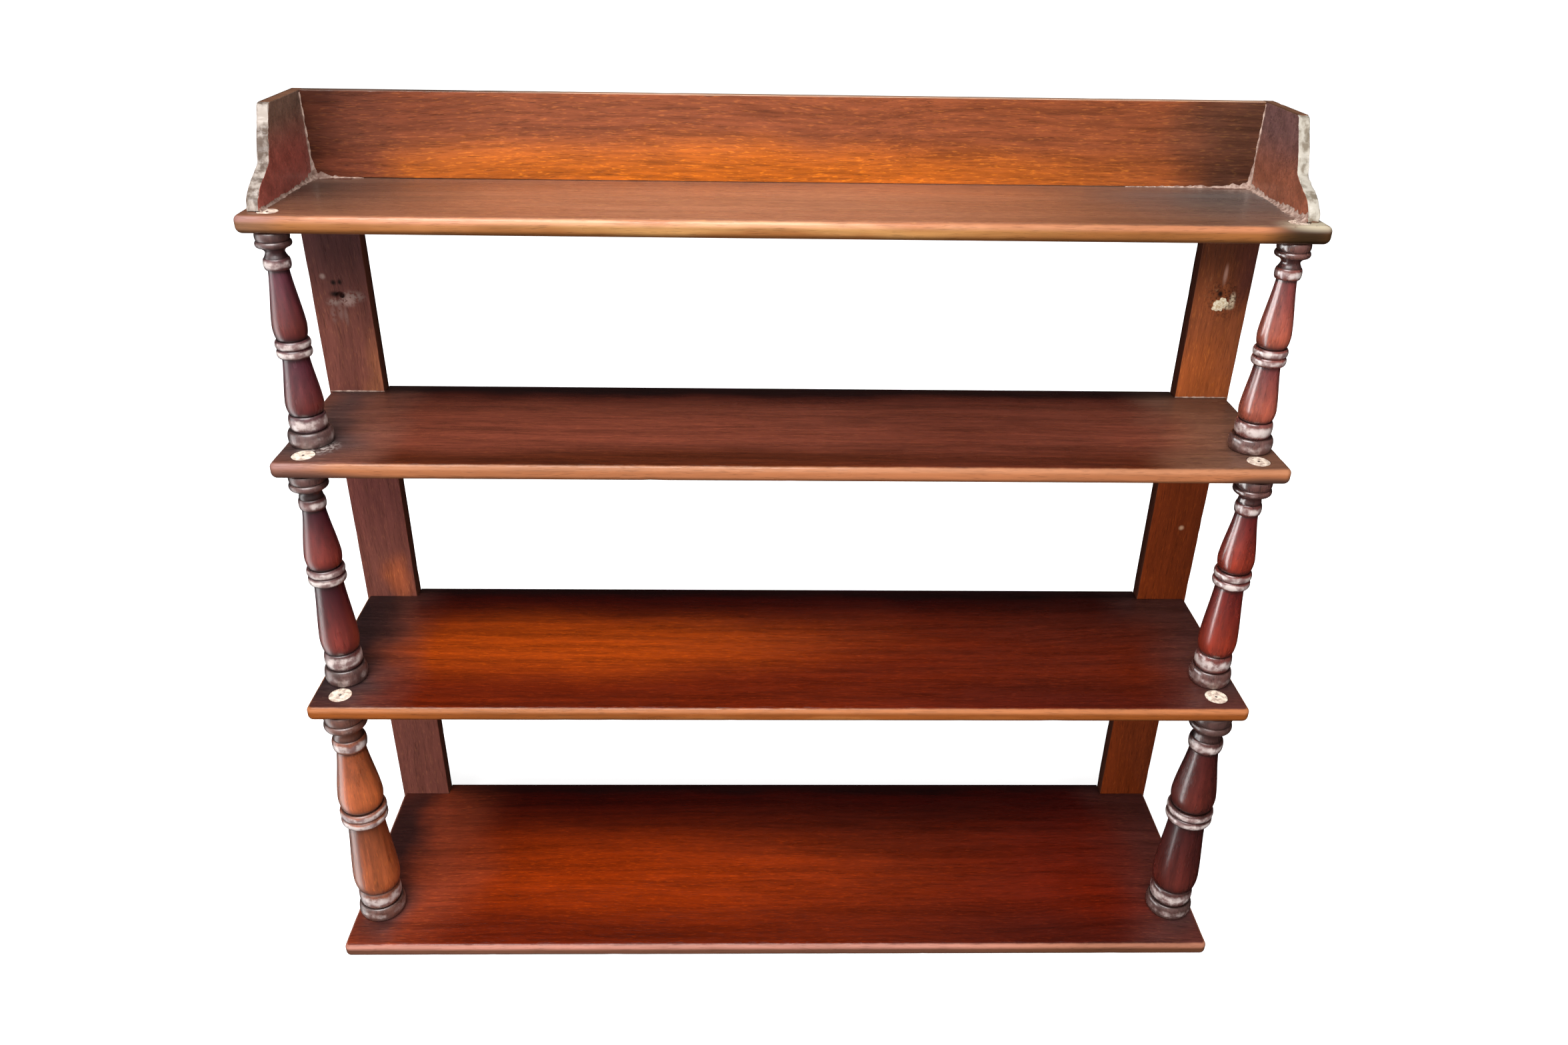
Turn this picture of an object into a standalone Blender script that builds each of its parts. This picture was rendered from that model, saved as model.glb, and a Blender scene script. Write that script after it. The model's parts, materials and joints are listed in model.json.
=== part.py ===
"""Graduated wall shelf: four shelves that deepen downwards, two back uprights, turned spindles and a gallery.

Frame: +X along the shelves, +Y into the wall, +Z up, in metres. The origin is on the rear edge of the
top shelf, at the middle of its width and thickness, so y = 0 is the wall plane.
"""

import math

import bmesh
import bpy
from mathutils import Matrix

# Shelves, from the top down: each steps forward from the one above
SHELF_WIDTH = 0.915
SHELF_THICKNESS = 0.0158
TOP_SHELF_DEPTH = 0.1555
SECOND_SHELF_STEP = 0.031
THIRD_SHELF_STEP = 0.0325
BOTTOM_SHELF_STEP = 0.033
SHELF_NOSE_RADIUS = 0.0055
SHELF_CORNER_RADIUS = 0.0062

# Clear height of each bay
UPPER_BAY_HEIGHT = 0.1945
MIDDLE_BAY_HEIGHT = 0.228
LOWER_BAY_HEIGHT = 0.270

# Back uprights
UPRIGHT_WIDTH = 0.055
UPRIGHT_THICKNESS = 0.016
UPRIGHT_EASING = 0.0008

# Wall screw holes, one in each upright, below the top shelf
WALL_HOLE_DROP = 0.096
WALL_HOLE_RADIUS = 0.0026
WALL_HOLE_SINK_RADIUS = 0.0052
WALL_HOLE_SINK_DEPTH = 0.003
PLUG_CROWN = 0.0016
PLUG_SHOULDER_SPREAD = 0.6
PLUG_SHOULDER_RISE = 0.8

# Spindles: one turning pattern in three sizes
UPPER_TURNING = {
    "end_inset": 0.0245,
    "tenon_radius": 0.009,
    "cap_radius": 0.015,
    "cap_height": 0.013,
    "neck_radius": 0.008,
    "neck_height": 0.0094,
    "bead_radius": 0.0114,
    "bead_height": 0.010,
    "upper_vase_neck": 0.0086,
    "upper_vase_radius": 0.0145,
    "upper_vase_height": 0.0622,
    "collar_radius": 0.0152,
    "collar_height": 0.016,
    "lower_vase_neck": 0.0113,
    "lower_vase_radius": 0.0165,
    "ring_radius": 0.0168,
    "ring_height": 0.015,
    "foot_radius": 0.0200,
    "foot_height": 0.0145,
}
MIDDLE_TURNING = {
    "end_inset": 0.0258,
    "tenon_radius": 0.0105,
    "cap_radius": 0.0174,
    "cap_height": 0.0152,
    "neck_radius": 0.010,
    "neck_height": 0.010,
    "bead_radius": 0.0122,
    "bead_height": 0.0113,
    "upper_vase_neck": 0.0102,
    "upper_vase_radius": 0.0168,
    "upper_vase_height": 0.061,
    "collar_radius": 0.0175,
    "collar_height": 0.0172,
    "lower_vase_neck": 0.0132,
    "lower_vase_radius": 0.0183,
    "ring_radius": 0.0178,
    "ring_height": 0.0177,
    "foot_radius": 0.0203,
    "foot_height": 0.0175,
}
LOWER_TURNING = {
    "end_inset": 0.0275,
    "tenon_radius": 0.011,
    "cap_radius": 0.0208,
    "cap_height": 0.0195,
    "neck_radius": 0.013,
    "neck_height": 0.0128,
    "bead_radius": 0.0168,
    "bead_height": 0.0146,
    "upper_vase_neck": 0.014,
    "upper_vase_radius": 0.0222,
    "upper_vase_height": 0.075,
    "collar_radius": 0.0233,
    "collar_height": 0.0187,
    "lower_vase_neck": 0.018,
    "lower_vase_radius": 0.0236,
    "ring_radius": 0.0218,
    "ring_height": 0.0195,
    "foot_radius": 0.0240,
    "foot_height": 0.017,
}
SPINDLE_SETBACK = 0.001
FOOT_TENON_RADIUS = 0.008
FOOT_TENON_LENGTH = 0.008
TENON_END_DROP = 0.0002

# Forms of the turned members, as ratios
CAP_UPPER_RING_SHARE = 0.58
CAP_UPPER_RING_RATIO = 0.95
RING_ROOT_RATIO = 0.86
VASE_PEAK_SHARE = 0.80
VASE_END_RATIO = 0.80
VASE_STRAIGHT_SHARE = 0.55

# Gallery on the top shelf
GALLERY_HEIGHT = 0.077
GALLERY_BOARD = 0.010
GALLERY_INSET = 0.009
GALLERY_SETBACK = 0.012
GALLERY_WAIST_SETBACK = 0.0525
GALLERY_WAIST_HEIGHT = 0.034
GALLERY_TOP_SETBACK = 0.0775
GALLERY_EASING = 0.0008

# Ogee front of the gallery sides: reaches of its Bezier handles, as shares of the stretch each belongs to
TOE_RISE = 0.60
HOLLOW_DROP = 0.24
HOLLOW_REACH = 0.06
SLOPE_RISE = 0.25
SLOPE_LEAN = 0.12
SHOULDER_REACH = 0.30
SHOULDER_DROP = 0.14
SHOULDER_LEAN = 0.20
SHOULDER_ROUND = 0.85

# Fasteners
SCREW_HEAD_RADIUS = 0.0038
SCREW_HEAD_HEIGHT = 0.0028
SCREW_SHANK_RADIUS = 0.0019
UPRIGHT_SCREW_LENGTH = 0.034
GALLERY_SCREW_LENGTH = 0.032
BACK_SCREW_END_INSET = 0.138
SIDE_SCREW_REAR = 0.040
SIDE_SCREW_FRONT = 0.090
PIN_RADIUS = 0.0009
PIN_LENGTH = 0.026
LOWER_PIN_RISE = 0.020
UPPER_PIN_DROP = 0.0185

# Clearances, and how far a cutter stands past the face that it opens
SEAT_GAP = 0.0003
FIT_GAP = 0.0003
HEAD_SINK = 0.0004
CUTTER_OVERRUN = 0.004

# Facets
SPINDLE_STEPS = 16
RING_STEPS = 3
VASE_RISE_STEPS = 4
VASE_TURN_STEPS = 2
FASTENER_STEPS = 8
NOSE_SEGMENTS = 3
ROUND_PROFILE = 0.5
OUTLINE_RESOLUTION = 6
MERGE_DISTANCE = 0.00001
FLAT_ANGLE = math.radians(0.5)
SHARP_ANGLE = math.radians(40)
NOSE_LIMIT = 0.45
CORNER_LIMIT = 0.90

# Colours with roughness
MAHOGANY = (0.15, 0.035, 0.014)
MAHOGANY_DARK = (0.085, 0.020, 0.010)
STEEL = (0.30, 0.29, 0.27)
FILLER = (0.78, 0.68, 0.50)
POLISHED = 0.25
WORN_METAL = 0.45
CHALKY = 0.80

# Places worked out from the sizes
HALF_WIDTH = SHELF_WIDTH / 2
HALF_THICKNESS = SHELF_THICKNESS / 2
SHELF_NAMES = ("top_shelf", "second_shelf", "third_shelf", "bottom_shelf")
SHELF_LEVELS = range(len(SHELF_NAMES))
SHELF_STEPS = (SECOND_SHELF_STEP, THIRD_SHELF_STEP, BOTTOM_SHELF_STEP)
SHELF_DEPTHS = [TOP_SHELF_DEPTH + sum(SHELF_STEPS[:level]) for level in SHELF_LEVELS]
BAY_HEIGHTS = (UPPER_BAY_HEIGHT, MIDDLE_BAY_HEIGHT, LOWER_BAY_HEIGHT)
SHELF_HEIGHTS = [-sum(BAY_HEIGHTS[:level]) - level * SHELF_THICKNESS for level in SHELF_LEVELS]
BAY_NAMES = ("upper", "middle", "lower")
TURNINGS = (UPPER_TURNING, MIDDLE_TURNING, LOWER_TURNING)
SIDES = (("left", -1), ("right", 1))
UPRIGHT_MIDDLE = HALF_WIDTH - UPRIGHT_WIDTH / 2
WALL_HOLE_HEIGHT = -HALF_THICKNESS - WALL_HOLE_DROP
GALLERY_FOOT = HALF_THICKNESS + SEAT_GAP
SIDE_MIDDLE = HALF_WIDTH - GALLERY_INSET - GALLERY_BOARD / 2
SIDE_LENGTH = TOP_SHELF_DEPTH - GALLERY_SETBACK
BACK_HALF_WIDTH = SIDE_MIDDLE - GALLERY_BOARD / 2 - SEAT_GAP

# Turns that carry an upright turned piece to its direction
FACING_BACK = Matrix.Rotation(-math.pi / 2, 4, "X")
FACING_FRONT = Matrix.Rotation(math.pi / 2, 4, "X")
FACING_DOWN = Matrix.Rotation(math.pi, 4, "X")

# Turn that stands a flat outline up across the shelf, its first axis forward and its second one up
STANDING = Matrix(((0, 0, -1, 0), (-1, 0, 0, 0), (0, 1, 0, 0), (0, 0, 0, 1)))


def clear_scene():
    """Remove every object that the scene starts with."""
    for obj in list(bpy.data.objects):
        bpy.data.objects.remove(obj, do_unlink=True)


def new_collection(name):
    """A new collection in the scene."""
    collection = bpy.data.collections.new(name)
    bpy.context.scene.collection.children.link(collection)
    return collection


def finish(obj, colour, roughness, metallic=0.0):
    """Give the object a Principled material of its own."""
    material = bpy.data.materials.new(obj.name)
    material.use_nodes = True
    shader = material.node_tree.nodes["Principled BSDF"]
    shader.inputs["Base Color"].default_value = (*colour, 1.0)
    shader.inputs["Roughness"].default_value = roughness
    shader.inputs["Metallic"].default_value = metallic
    obj.data.materials.append(material)


def at(x, y, z):
    """A matrix that only moves."""
    return Matrix.Translation((x, y, z))


def place_part(obj, place):
    """Put a piece of the shelf in its collection and its place, parented to the shelf's empty."""
    PARTS.objects.link(obj)
    obj.parent = ROOT
    obj.matrix_basis = place


def add_part(name, mesh, place=Matrix()):
    """A named piece of the shelf, from its mesh."""
    obj = bpy.data.objects.new(name, mesh)
    place_part(obj, place)
    return obj


def block_mesh(name, low, high, easing=0.0):
    """A box between two corners, with its edges eased by a small chamfer."""
    bm = bmesh.new()
    size = [b - a for a, b in zip(low, high)]
    middle = [(a + b) / 2 for a, b in zip(low, high)]
    bmesh.ops.create_cube(bm, size=1.0, matrix=at(*middle) @ Matrix.Diagonal((*size, 1.0)))
    if easing:
        bmesh.ops.bevel(bm, geom=bm.edges[:], offset=easing, segments=1, affect="EDGES")
    mesh = bpy.data.meshes.new(name)
    bm.to_mesh(mesh)
    bm.free()
    return mesh


def profile_object(name, profile, steps):
    """A half outline of (radius, height) points, top to bottom, turned about Z by a Screw modifier."""
    mesh = bpy.data.meshes.new(name)
    points = [(radius, 0.0, height) for radius, height in profile]
    edges = [(index, index + 1) for index in range(len(points) - 1)]
    mesh.from_pydata(points, edges, [])
    obj = bpy.data.objects.new(name, mesh)
    screw = obj.modifiers.new("turning", "SCREW")
    screw.axis = "Z"
    screw.angle = 2 * math.pi
    screw.steps = steps
    screw.render_steps = steps
    screw.use_merge_vertices = True
    screw.merge_threshold = MERGE_DISTANCE
    screw.use_smooth_shade = True
    return obj


def evaluated_mesh(obj, name):
    """The object's evaluated mesh, doubles merged and flat faces joined. The object itself is removed."""
    bpy.context.scene.collection.objects.link(obj)
    bpy.context.view_layer.update()
    graph = bpy.context.evaluated_depsgraph_get()
    mesh = bpy.data.meshes.new_from_object(obj.evaluated_get(graph))
    mesh.name = name
    bm = bmesh.new()
    bm.from_mesh(mesh)
    bmesh.ops.remove_doubles(bm, verts=bm.verts[:], dist=MERGE_DISTANCE)
    bmesh.ops.dissolve_limit(bm, angle_limit=FLAT_ANGLE, verts=bm.verts[:], edges=bm.edges[:])
    bmesh.ops.recalc_face_normals(bm, faces=bm.faces[:])
    bm.to_mesh(mesh)
    bm.free()
    bpy.data.objects.remove(obj, do_unlink=True)
    return mesh


def turned_mesh(name, profile, steps):
    """The mesh of a turned outline."""
    return evaluated_mesh(profile_object(name, profile, steps), name)


def group_mesh(name, copies):
    """One mesh of separate bodies, from (mesh, matrix) pairs."""
    bm = bmesh.new()
    for source, matrix in copies:
        piece = source.copy()
        piece.transform(matrix)
        bm.from_mesh(piece)
        bpy.data.meshes.remove(piece)
    mesh = bpy.data.meshes.new(name)
    bm.to_mesh(mesh)
    bm.free()
    return mesh


def cut(target, purpose, copies):
    """Cut a group of cutter bodies from the target with one Boolean."""
    name = f"{target.name}_{purpose}"
    cutter = bpy.data.objects.new(name, group_mesh(name, copies))
    CUTTERS.objects.link(cutter)
    cutter.hide_render = True
    cutter.display_type = "WIRE"
    cutter.parent = ROOT
    boolean = target.modifiers.new(purpose, "BOOLEAN")
    boolean.operation = "DIFFERENCE"
    boolean.solver = "EXACT"
    boolean.object = cutter


def rod_profile(radius, top, bottom):
    """Outline of a plain cylinder."""
    return [(0, top), (radius, top), (radius, bottom), (0, bottom)]


def screw_profile(length):
    """Outline of a countersunk screw, head up, with the head's face at height 0."""
    point = 2 * SCREW_SHANK_RADIUS
    return [
        (0, 0),
        (SCREW_HEAD_RADIUS, 0),
        (SCREW_SHANK_RADIUS, -SCREW_HEAD_HEIGHT),
        (SCREW_SHANK_RADIUS, -length + point),
        (0, -length),
    ]


def screw_hole_profile(length):
    """Outline of the countersunk hole for a screw whose head lies HEAD_SINK below the face at height 0."""
    slope = SCREW_HEAD_HEIGHT / (SCREW_HEAD_RADIUS - SCREW_SHANK_RADIUS)
    bore = SCREW_SHANK_RADIUS + FIT_GAP
    mouth = SCREW_HEAD_RADIUS + FIT_GAP
    sink = HEAD_SINK + slope * (mouth - bore)
    bottom = -HEAD_SINK - length - FIT_GAP
    return [
        (0, CUTTER_OVERRUN),
        (mouth, CUTTER_OVERRUN),
        (mouth, -HEAD_SINK),
        (bore, -sink),
        (bore, bottom),
        (0, bottom),
    ]


def pin_hole_profile():
    """Outline of the hole for a pin whose head lies HEAD_SINK below the face at height 0."""
    return rod_profile(PIN_RADIUS + FIT_GAP, CUTTER_OVERRUN, -HEAD_SINK - PIN_LENGTH - FIT_GAP)


def bead_points(root, radius, top, height):
    """A rounded member: half an ellipse that swells from the root radius to the full one and back."""
    points = []
    for step in range(RING_STEPS + 1):
        angle = math.pi * step / RING_STEPS
        swell = root + (radius - root) * math.sin(angle)
        points.append((swell, top - height * (1 - math.cos(angle)) / 2))
    return points


def cove_points(start, neck, end, top, height):
    """A hollow member: the radius dips by half a sine from the start to the neck and back to the end."""
    points = []
    for step in range(1, RING_STEPS):
        share = step / RING_STEPS
        straight = start + (end - start) * share
        points.append((straight + (neck - straight) * math.sin(math.pi * share), top - height * share))
    return points


def vase_points(neck, belly, top, height):
    """A vase: it widens from neck to belly, part straight and part as an S, then rounds in on an ellipse."""
    end = belly * VASE_END_RATIO
    points = []
    for step in range(VASE_RISE_STEPS + 1):
        share = step / VASE_RISE_STEPS
        blend = VASE_STRAIGHT_SHARE * share + (1 - VASE_STRAIGHT_SHARE) * share * share * (3 - 2 * share)
        points.append((neck + (belly - neck) * blend, top - height * VASE_PEAK_SHARE * share))
    for step in range(1, VASE_TURN_STEPS + 1):
        angle = math.pi / 2 * step / VASE_TURN_STEPS
        drop = VASE_PEAK_SHARE + (1 - VASE_PEAK_SHARE) * math.sin(angle)
        points.append((end + (belly - end) * math.cos(angle), top - height * drop))
    return points


def spindle_profile(turning, length):
    """Outline of a spindle from its through tenon to its foot tenon, with height 0 at its upper shoulder."""
    tenon_top = SHELF_THICKNESS + SEAT_GAP - TENON_END_DROP
    tenon_bottom = -length - FOOT_TENON_LENGTH
    points = [(0, tenon_top), (turning["tenon_radius"], tenon_top), (turning["tenon_radius"], 0)]

    def ring(radius, top, height, root):
        points.extend(bead_points(root, radius, top, height))
        return top - height

    def vase(member, top, height):
        points.extend(vase_points(turning[f"{member}_neck"], turning[f"{member}_radius"], top, height))
        return top - height

    cap_root = turning["cap_radius"] * RING_ROOT_RATIO
    bead_root = turning["bead_radius"] * RING_ROOT_RATIO
    collar_root = turning["collar_radius"] * RING_ROOT_RATIO
    ring_root = turning["ring_radius"] * RING_ROOT_RATIO
    foot_root = turning["foot_radius"] * RING_ROOT_RATIO
    upper_ring = turning["cap_height"] * CAP_UPPER_RING_SHARE
    height = ring(turning["cap_radius"] * CAP_UPPER_RING_RATIO, 0, upper_ring, cap_root)
    height = ring(turning["cap_radius"], height, turning["cap_height"] - upper_ring, cap_root)
    points.extend(cove_points(cap_root, turning["neck_radius"], bead_root, height, turning["neck_height"]))
    height = ring(turning["bead_radius"], height - turning["neck_height"], turning["bead_height"], bead_root)
    height = vase("upper_vase", height, turning["upper_vase_height"])
    height = ring(turning["collar_radius"], height, turning["collar_height"] / 2, collar_root)
    height = ring(turning["collar_radius"], height, turning["collar_height"] / 2, collar_root)
    ring_top = -length + turning["foot_height"] + turning["ring_height"]
    height = vase("lower_vase", height, height - ring_top)
    height = ring(turning["ring_radius"], height, turning["ring_height"], ring_root)
    ring(turning["foot_radius"], height, turning["foot_height"], foot_root)
    points.extend([(FOOT_TENON_RADIUS, -length), (FOOT_TENON_RADIUS, tenon_bottom), (0, tenon_bottom)])
    followers = zip(points, points[1:])
    return points[:1] + [point for last, point in followers if math.dist(last, point) > MERGE_DISTANCE]


def spindle_place(bay, side):
    """Axis of a spindle: its cap stands just inside the front edge of the shelf above."""
    turning = TURNINGS[bay]
    x = side * (HALF_WIDTH - turning["end_inset"])
    y = -SHELF_DEPTHS[bay] + turning["cap_radius"] + SPINDLE_SETBACK
    return x, y


def round_off(bm, edges, radius):
    """Round some edges of a mesh to a radius."""
    bmesh.ops.bevel(
        bm, geom=edges, offset=radius, segments=NOSE_SEGMENTS, profile=ROUND_PROFILE, affect="EDGES"
    )


def make_shelf(level):
    """A shelf with rounded front corners and a rounded nose on its front and ends, still uncut."""
    depth = SHELF_DEPTHS[level]
    nose = min(SHELF_NOSE_RADIUS, NOSE_LIMIT * SHELF_THICKNESS, CORNER_LIMIT * SHELF_CORNER_RADIUS)
    bm = bmesh.new()
    shape = at(0, -depth / 2, 0) @ Matrix.Diagonal((SHELF_WIDTH, depth, SHELF_THICKNESS, 1.0))
    bmesh.ops.create_cube(bm, size=1.0, matrix=shape)

    def lies_at(edge, axis, value):
        return all(abs(vertex.co[axis] - value) < MERGE_DISTANCE for vertex in edge.verts)

    corners = [e for e in bm.edges if lies_at(e, 1, -depth) and e.verts[0].co.x == e.verts[1].co.x]
    round_off(bm, corners, SHELF_CORNER_RADIUS)
    rims = [e for e in bm.edges if lies_at(e, 2, HALF_THICKNESS) or lies_at(e, 2, -HALF_THICKNESS)]
    round_off(bm, [e for e in rims if not lies_at(e, 1, 0)], nose)
    mesh = bpy.data.meshes.new(SHELF_NAMES[level])
    bm.to_mesh(mesh)
    bm.free()
    shelf = add_part(SHELF_NAMES[level], mesh, at(0, 0, SHELF_HEIGHTS[level]))
    finish(shelf, MAHOGANY, POLISHED)
    return shelf


def cut_shelf(level, shelf):
    """Notch a shelf for the uprights, then bore it for spindles and screws."""
    height = SHELF_HEIGHTS[level]
    notch_low = (HALF_WIDTH - UPRIGHT_WIDTH - FIT_GAP, -UPRIGHT_THICKNESS - SEAT_GAP, -SHELF_THICKNESS)
    notch_high = (HALF_WIDTH + CUTTER_OVERRUN, CUTTER_OVERRUN, SHELF_THICKNESS)
    mirrored_low = (-notch_high[0], *notch_low[1:])
    mirrored_high = (-notch_low[0], *notch_high[1:])
    notches = [block_mesh("notch", notch_low, notch_high), block_mesh("notch", mirrored_low, mirrored_high)]
    cut(shelf, "notches", [(notch, at(0, 0, height)) for notch in notches])

    bore = turned_mesh("bore", screw_hole_profile(UPRIGHT_SCREW_LENGTH), FASTENER_STEPS)
    holes = [(bore, upright_screw_place(side, level, 0)) for _, side in SIDES]
    if level < len(TURNINGS):
        radius = TURNINGS[level]["tenon_radius"] + FIT_GAP
        outline = rod_profile(radius, SHELF_THICKNESS, -SHELF_THICKNESS)
        tenon_hole = turned_mesh("tenon_hole", outline, SPINDLE_STEPS)
        holes += [(tenon_hole, at(*spindle_place(level, side), height)) for _, side in SIDES]
    if level > 0:
        floor = HALF_THICKNESS - FOOT_TENON_LENGTH - 2 * SEAT_GAP
        outline = rod_profile(FOOT_TENON_RADIUS + FIT_GAP, SHELF_THICKNESS, floor)
        socket = turned_mesh("socket", outline, SPINDLE_STEPS)
        holes += [(socket, at(*spindle_place(level - 1, side), height)) for _, side in SIDES]
    else:
        holes += gallery_bores()
    cut(shelf, "holes", holes)


def upright_screw_place(side, level, sink):
    """Where an upright's screw enters a shelf from behind, with its head a sink below the rear face."""
    return at(side * UPRIGHT_MIDDLE, -sink, SHELF_HEIGHTS[level]) @ FACING_BACK


def gallery_screw_places(sink):
    """Names and places of the gallery's screws, head down, a sink above the top shelf's underside."""
    reach = BACK_HALF_WIDTH - BACK_SCREW_END_INSET
    spots = {}
    for count, x in enumerate((-reach, 0, reach), 1):
        spots[f"gallery_back_screw_{count}"] = (x, -GALLERY_BOARD / 2)
    for name, side in SIDES:
        for count, setback in enumerate((SIDE_SCREW_REAR, SIDE_SCREW_FRONT), 1):
            spots[f"gallery_{name}_screw_{count}"] = (side * SIDE_MIDDLE, -setback)
    return {name: at(x, y, -HALF_THICKNESS + sink) @ FACING_DOWN for name, (x, y) in spots.items()}


def gallery_pin_places():
    """Names and places of the gallery's pins, with height 0 of their outline on the outer face of a side."""
    rises = (LOWER_PIN_RISE, GALLERY_HEIGHT - UPPER_PIN_DROP)
    places = {}
    for name, side in SIDES:
        outward = Matrix.Rotation(side * math.pi / 2, 4, "Y")
        outer_face = side * (SIDE_MIDDLE + GALLERY_BOARD / 2)
        for count, rise in enumerate(rises, 1):
            mouth = at(outer_face, -GALLERY_BOARD / 2, GALLERY_FOOT + rise)
            places[f"gallery_{name}_pin_{count}"] = mouth @ outward
    return places


def gallery_bores():
    """Cutters for all of the gallery's screws and pins."""
    screw_bore = turned_mesh("screw_bore", screw_hole_profile(GALLERY_SCREW_LENGTH), FASTENER_STEPS)
    pin_bore = turned_mesh("pin_bore", pin_hole_profile(), FASTENER_STEPS)
    bores = [(screw_bore, place) for place in gallery_screw_places(0).values()]
    return bores + [(pin_bore, place) for place in gallery_pin_places().values()]


def make_upright(name, side):
    """A back upright from the top shelf's upper face to the bottom one's underside, bored for its screws."""
    middle = side * UPRIGHT_MIDDLE
    low = (middle - UPRIGHT_WIDTH / 2, -UPRIGHT_THICKNESS, SHELF_HEIGHTS[-1] - HALF_THICKNESS)
    high = (middle + UPRIGHT_WIDTH / 2, 0, HALF_THICKNESS)
    upright = add_part(f"{name}_upright", block_mesh(f"{name}_upright", low, high, UPRIGHT_EASING))
    finish(upright, MAHOGANY, POLISHED)
    bore = turned_mesh("bore", screw_hole_profile(UPRIGHT_SCREW_LENGTH), FASTENER_STEPS)
    holes = [(bore, upright_screw_place(side, level, 0)) for level in SHELF_LEVELS]
    wall_hole = turned_mesh("wall_hole", wall_hole_profile(), FASTENER_STEPS)
    holes.append((wall_hole, wall_hole_place(side)))
    cut(upright, "holes", holes)


def wall_hole_place(side):
    """The mouth of a wall screw hole, in the middle of an upright's front face."""
    return at(side * UPRIGHT_MIDDLE, -UPRIGHT_THICKNESS, WALL_HOLE_HEIGHT) @ FACING_FRONT


def wall_hole_profile():
    """Outline of a wall screw hole, countersunk at height 0."""
    bottom = -UPRIGHT_THICKNESS - CUTTER_OVERRUN
    return [
        (0, CUTTER_OVERRUN),
        (WALL_HOLE_SINK_RADIUS, CUTTER_OVERRUN),
        (WALL_HOLE_SINK_RADIUS, 0),
        (WALL_HOLE_RADIUS, -WALL_HOLE_SINK_DEPTH),
        (WALL_HOLE_RADIUS, bottom),
        (0, bottom),
    ]


def make_plug():
    """The filler in the right wall hole: it fills the countersink and bore and stands a little proud."""
    bore = WALL_HOLE_RADIUS - FIT_GAP
    mouth = WALL_HOLE_SINK_RADIUS - FIT_GAP
    bottom = -UPRIGHT_THICKNESS + SEAT_GAP
    profile = [
        (0, PLUG_CROWN),
        (mouth * PLUG_SHOULDER_SPREAD, PLUG_CROWN * PLUG_SHOULDER_RISE),
        (mouth, 0),
        (bore, -WALL_HOLE_SINK_DEPTH),
        (bore, bottom),
        (0, bottom),
    ]
    mesh = turned_mesh("wall_hole_plug", profile, FASTENER_STEPS)
    finish(add_part("wall_hole_plug", mesh, wall_hole_place(1)), FILLER, CHALKY)


def make_spindle(bay, side_name, side):
    """A turned spindle between two shelves, with its origin at its upper shoulder."""
    name = f"{BAY_NAMES[bay]}_{side_name}_spindle"
    length = BAY_HEIGHTS[bay] - 2 * SEAT_GAP
    spindle = profile_object(name, spindle_profile(TURNINGS[bay], length), SPINDLE_STEPS)
    shoulder = SHELF_HEIGHTS[bay] - HALF_THICKNESS - SEAT_GAP
    place_part(spindle, at(*spindle_place(bay, side), shoulder))
    finish(spindle, MAHOGANY_DARK, POLISHED)


def gallery_side_outline():
    """Closed Bezier outline of a gallery side, forward and up from its rear foot.

    Each knot is (point, left handle, right handle), and a handle on its point makes a corner. From the toe a
    quarter round rises to the hollow at the waist, and a slope leans back from there to a rounded shoulder.
    """
    waist = TOP_SHELF_DEPTH - GALLERY_WAIST_SETBACK
    top = TOP_SHELF_DEPTH - GALLERY_TOP_SETBACK
    toe_run = SIDE_LENGTH - waist
    slope_run = waist - top
    slope_rise = GALLERY_HEIGHT - GALLERY_WAIST_HEIGHT
    shoulder_x = top + SHOULDER_REACH * slope_run
    shoulder_z = GALLERY_HEIGHT - SHOULDER_DROP * slope_rise
    corner = [((0, 0),) * 3]
    toe = ((SIDE_LENGTH, 0), (SIDE_LENGTH, 0), (SIDE_LENGTH, TOE_RISE * GALLERY_WAIST_HEIGHT))
    hollow = (
        (waist, GALLERY_WAIST_HEIGHT),
        (waist + HOLLOW_REACH * toe_run, (1 - HOLLOW_DROP) * GALLERY_WAIST_HEIGHT),
        (waist - SLOPE_LEAN * slope_run, GALLERY_WAIST_HEIGHT + SLOPE_RISE * slope_rise),
    )
    lean = SHOULDER_LEAN * slope_run
    climb = SLOPE_RISE * slope_rise
    round_up = SHOULDER_ROUND * (GALLERY_HEIGHT - shoulder_z)
    round_back = SHOULDER_ROUND * (shoulder_x - top) / 2
    shoulder = (
        (shoulder_x, shoulder_z),
        (shoulder_x + lean, shoulder_z - climb),
        (shoulder_x - round_up * lean / climb, shoulder_z + round_up),
    )
    front_top = ((top, GALLERY_HEIGHT), (top + round_back, GALLERY_HEIGHT), (top, GALLERY_HEIGHT))
    rear_top = ((0, GALLERY_HEIGHT),) * 3
    return corner + [toe, hollow, shoulder, front_top, rear_top]


def ease_edges(obj, width):
    """Ease the sharp edges of a board with a narrow chamfer."""
    bevel = obj.modifiers.new("easing", "BEVEL")
    bevel.width = width
    bevel.segments = 1
    bevel.limit_method = "ANGLE"
    bevel.angle_limit = SHARP_ANGLE


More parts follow.
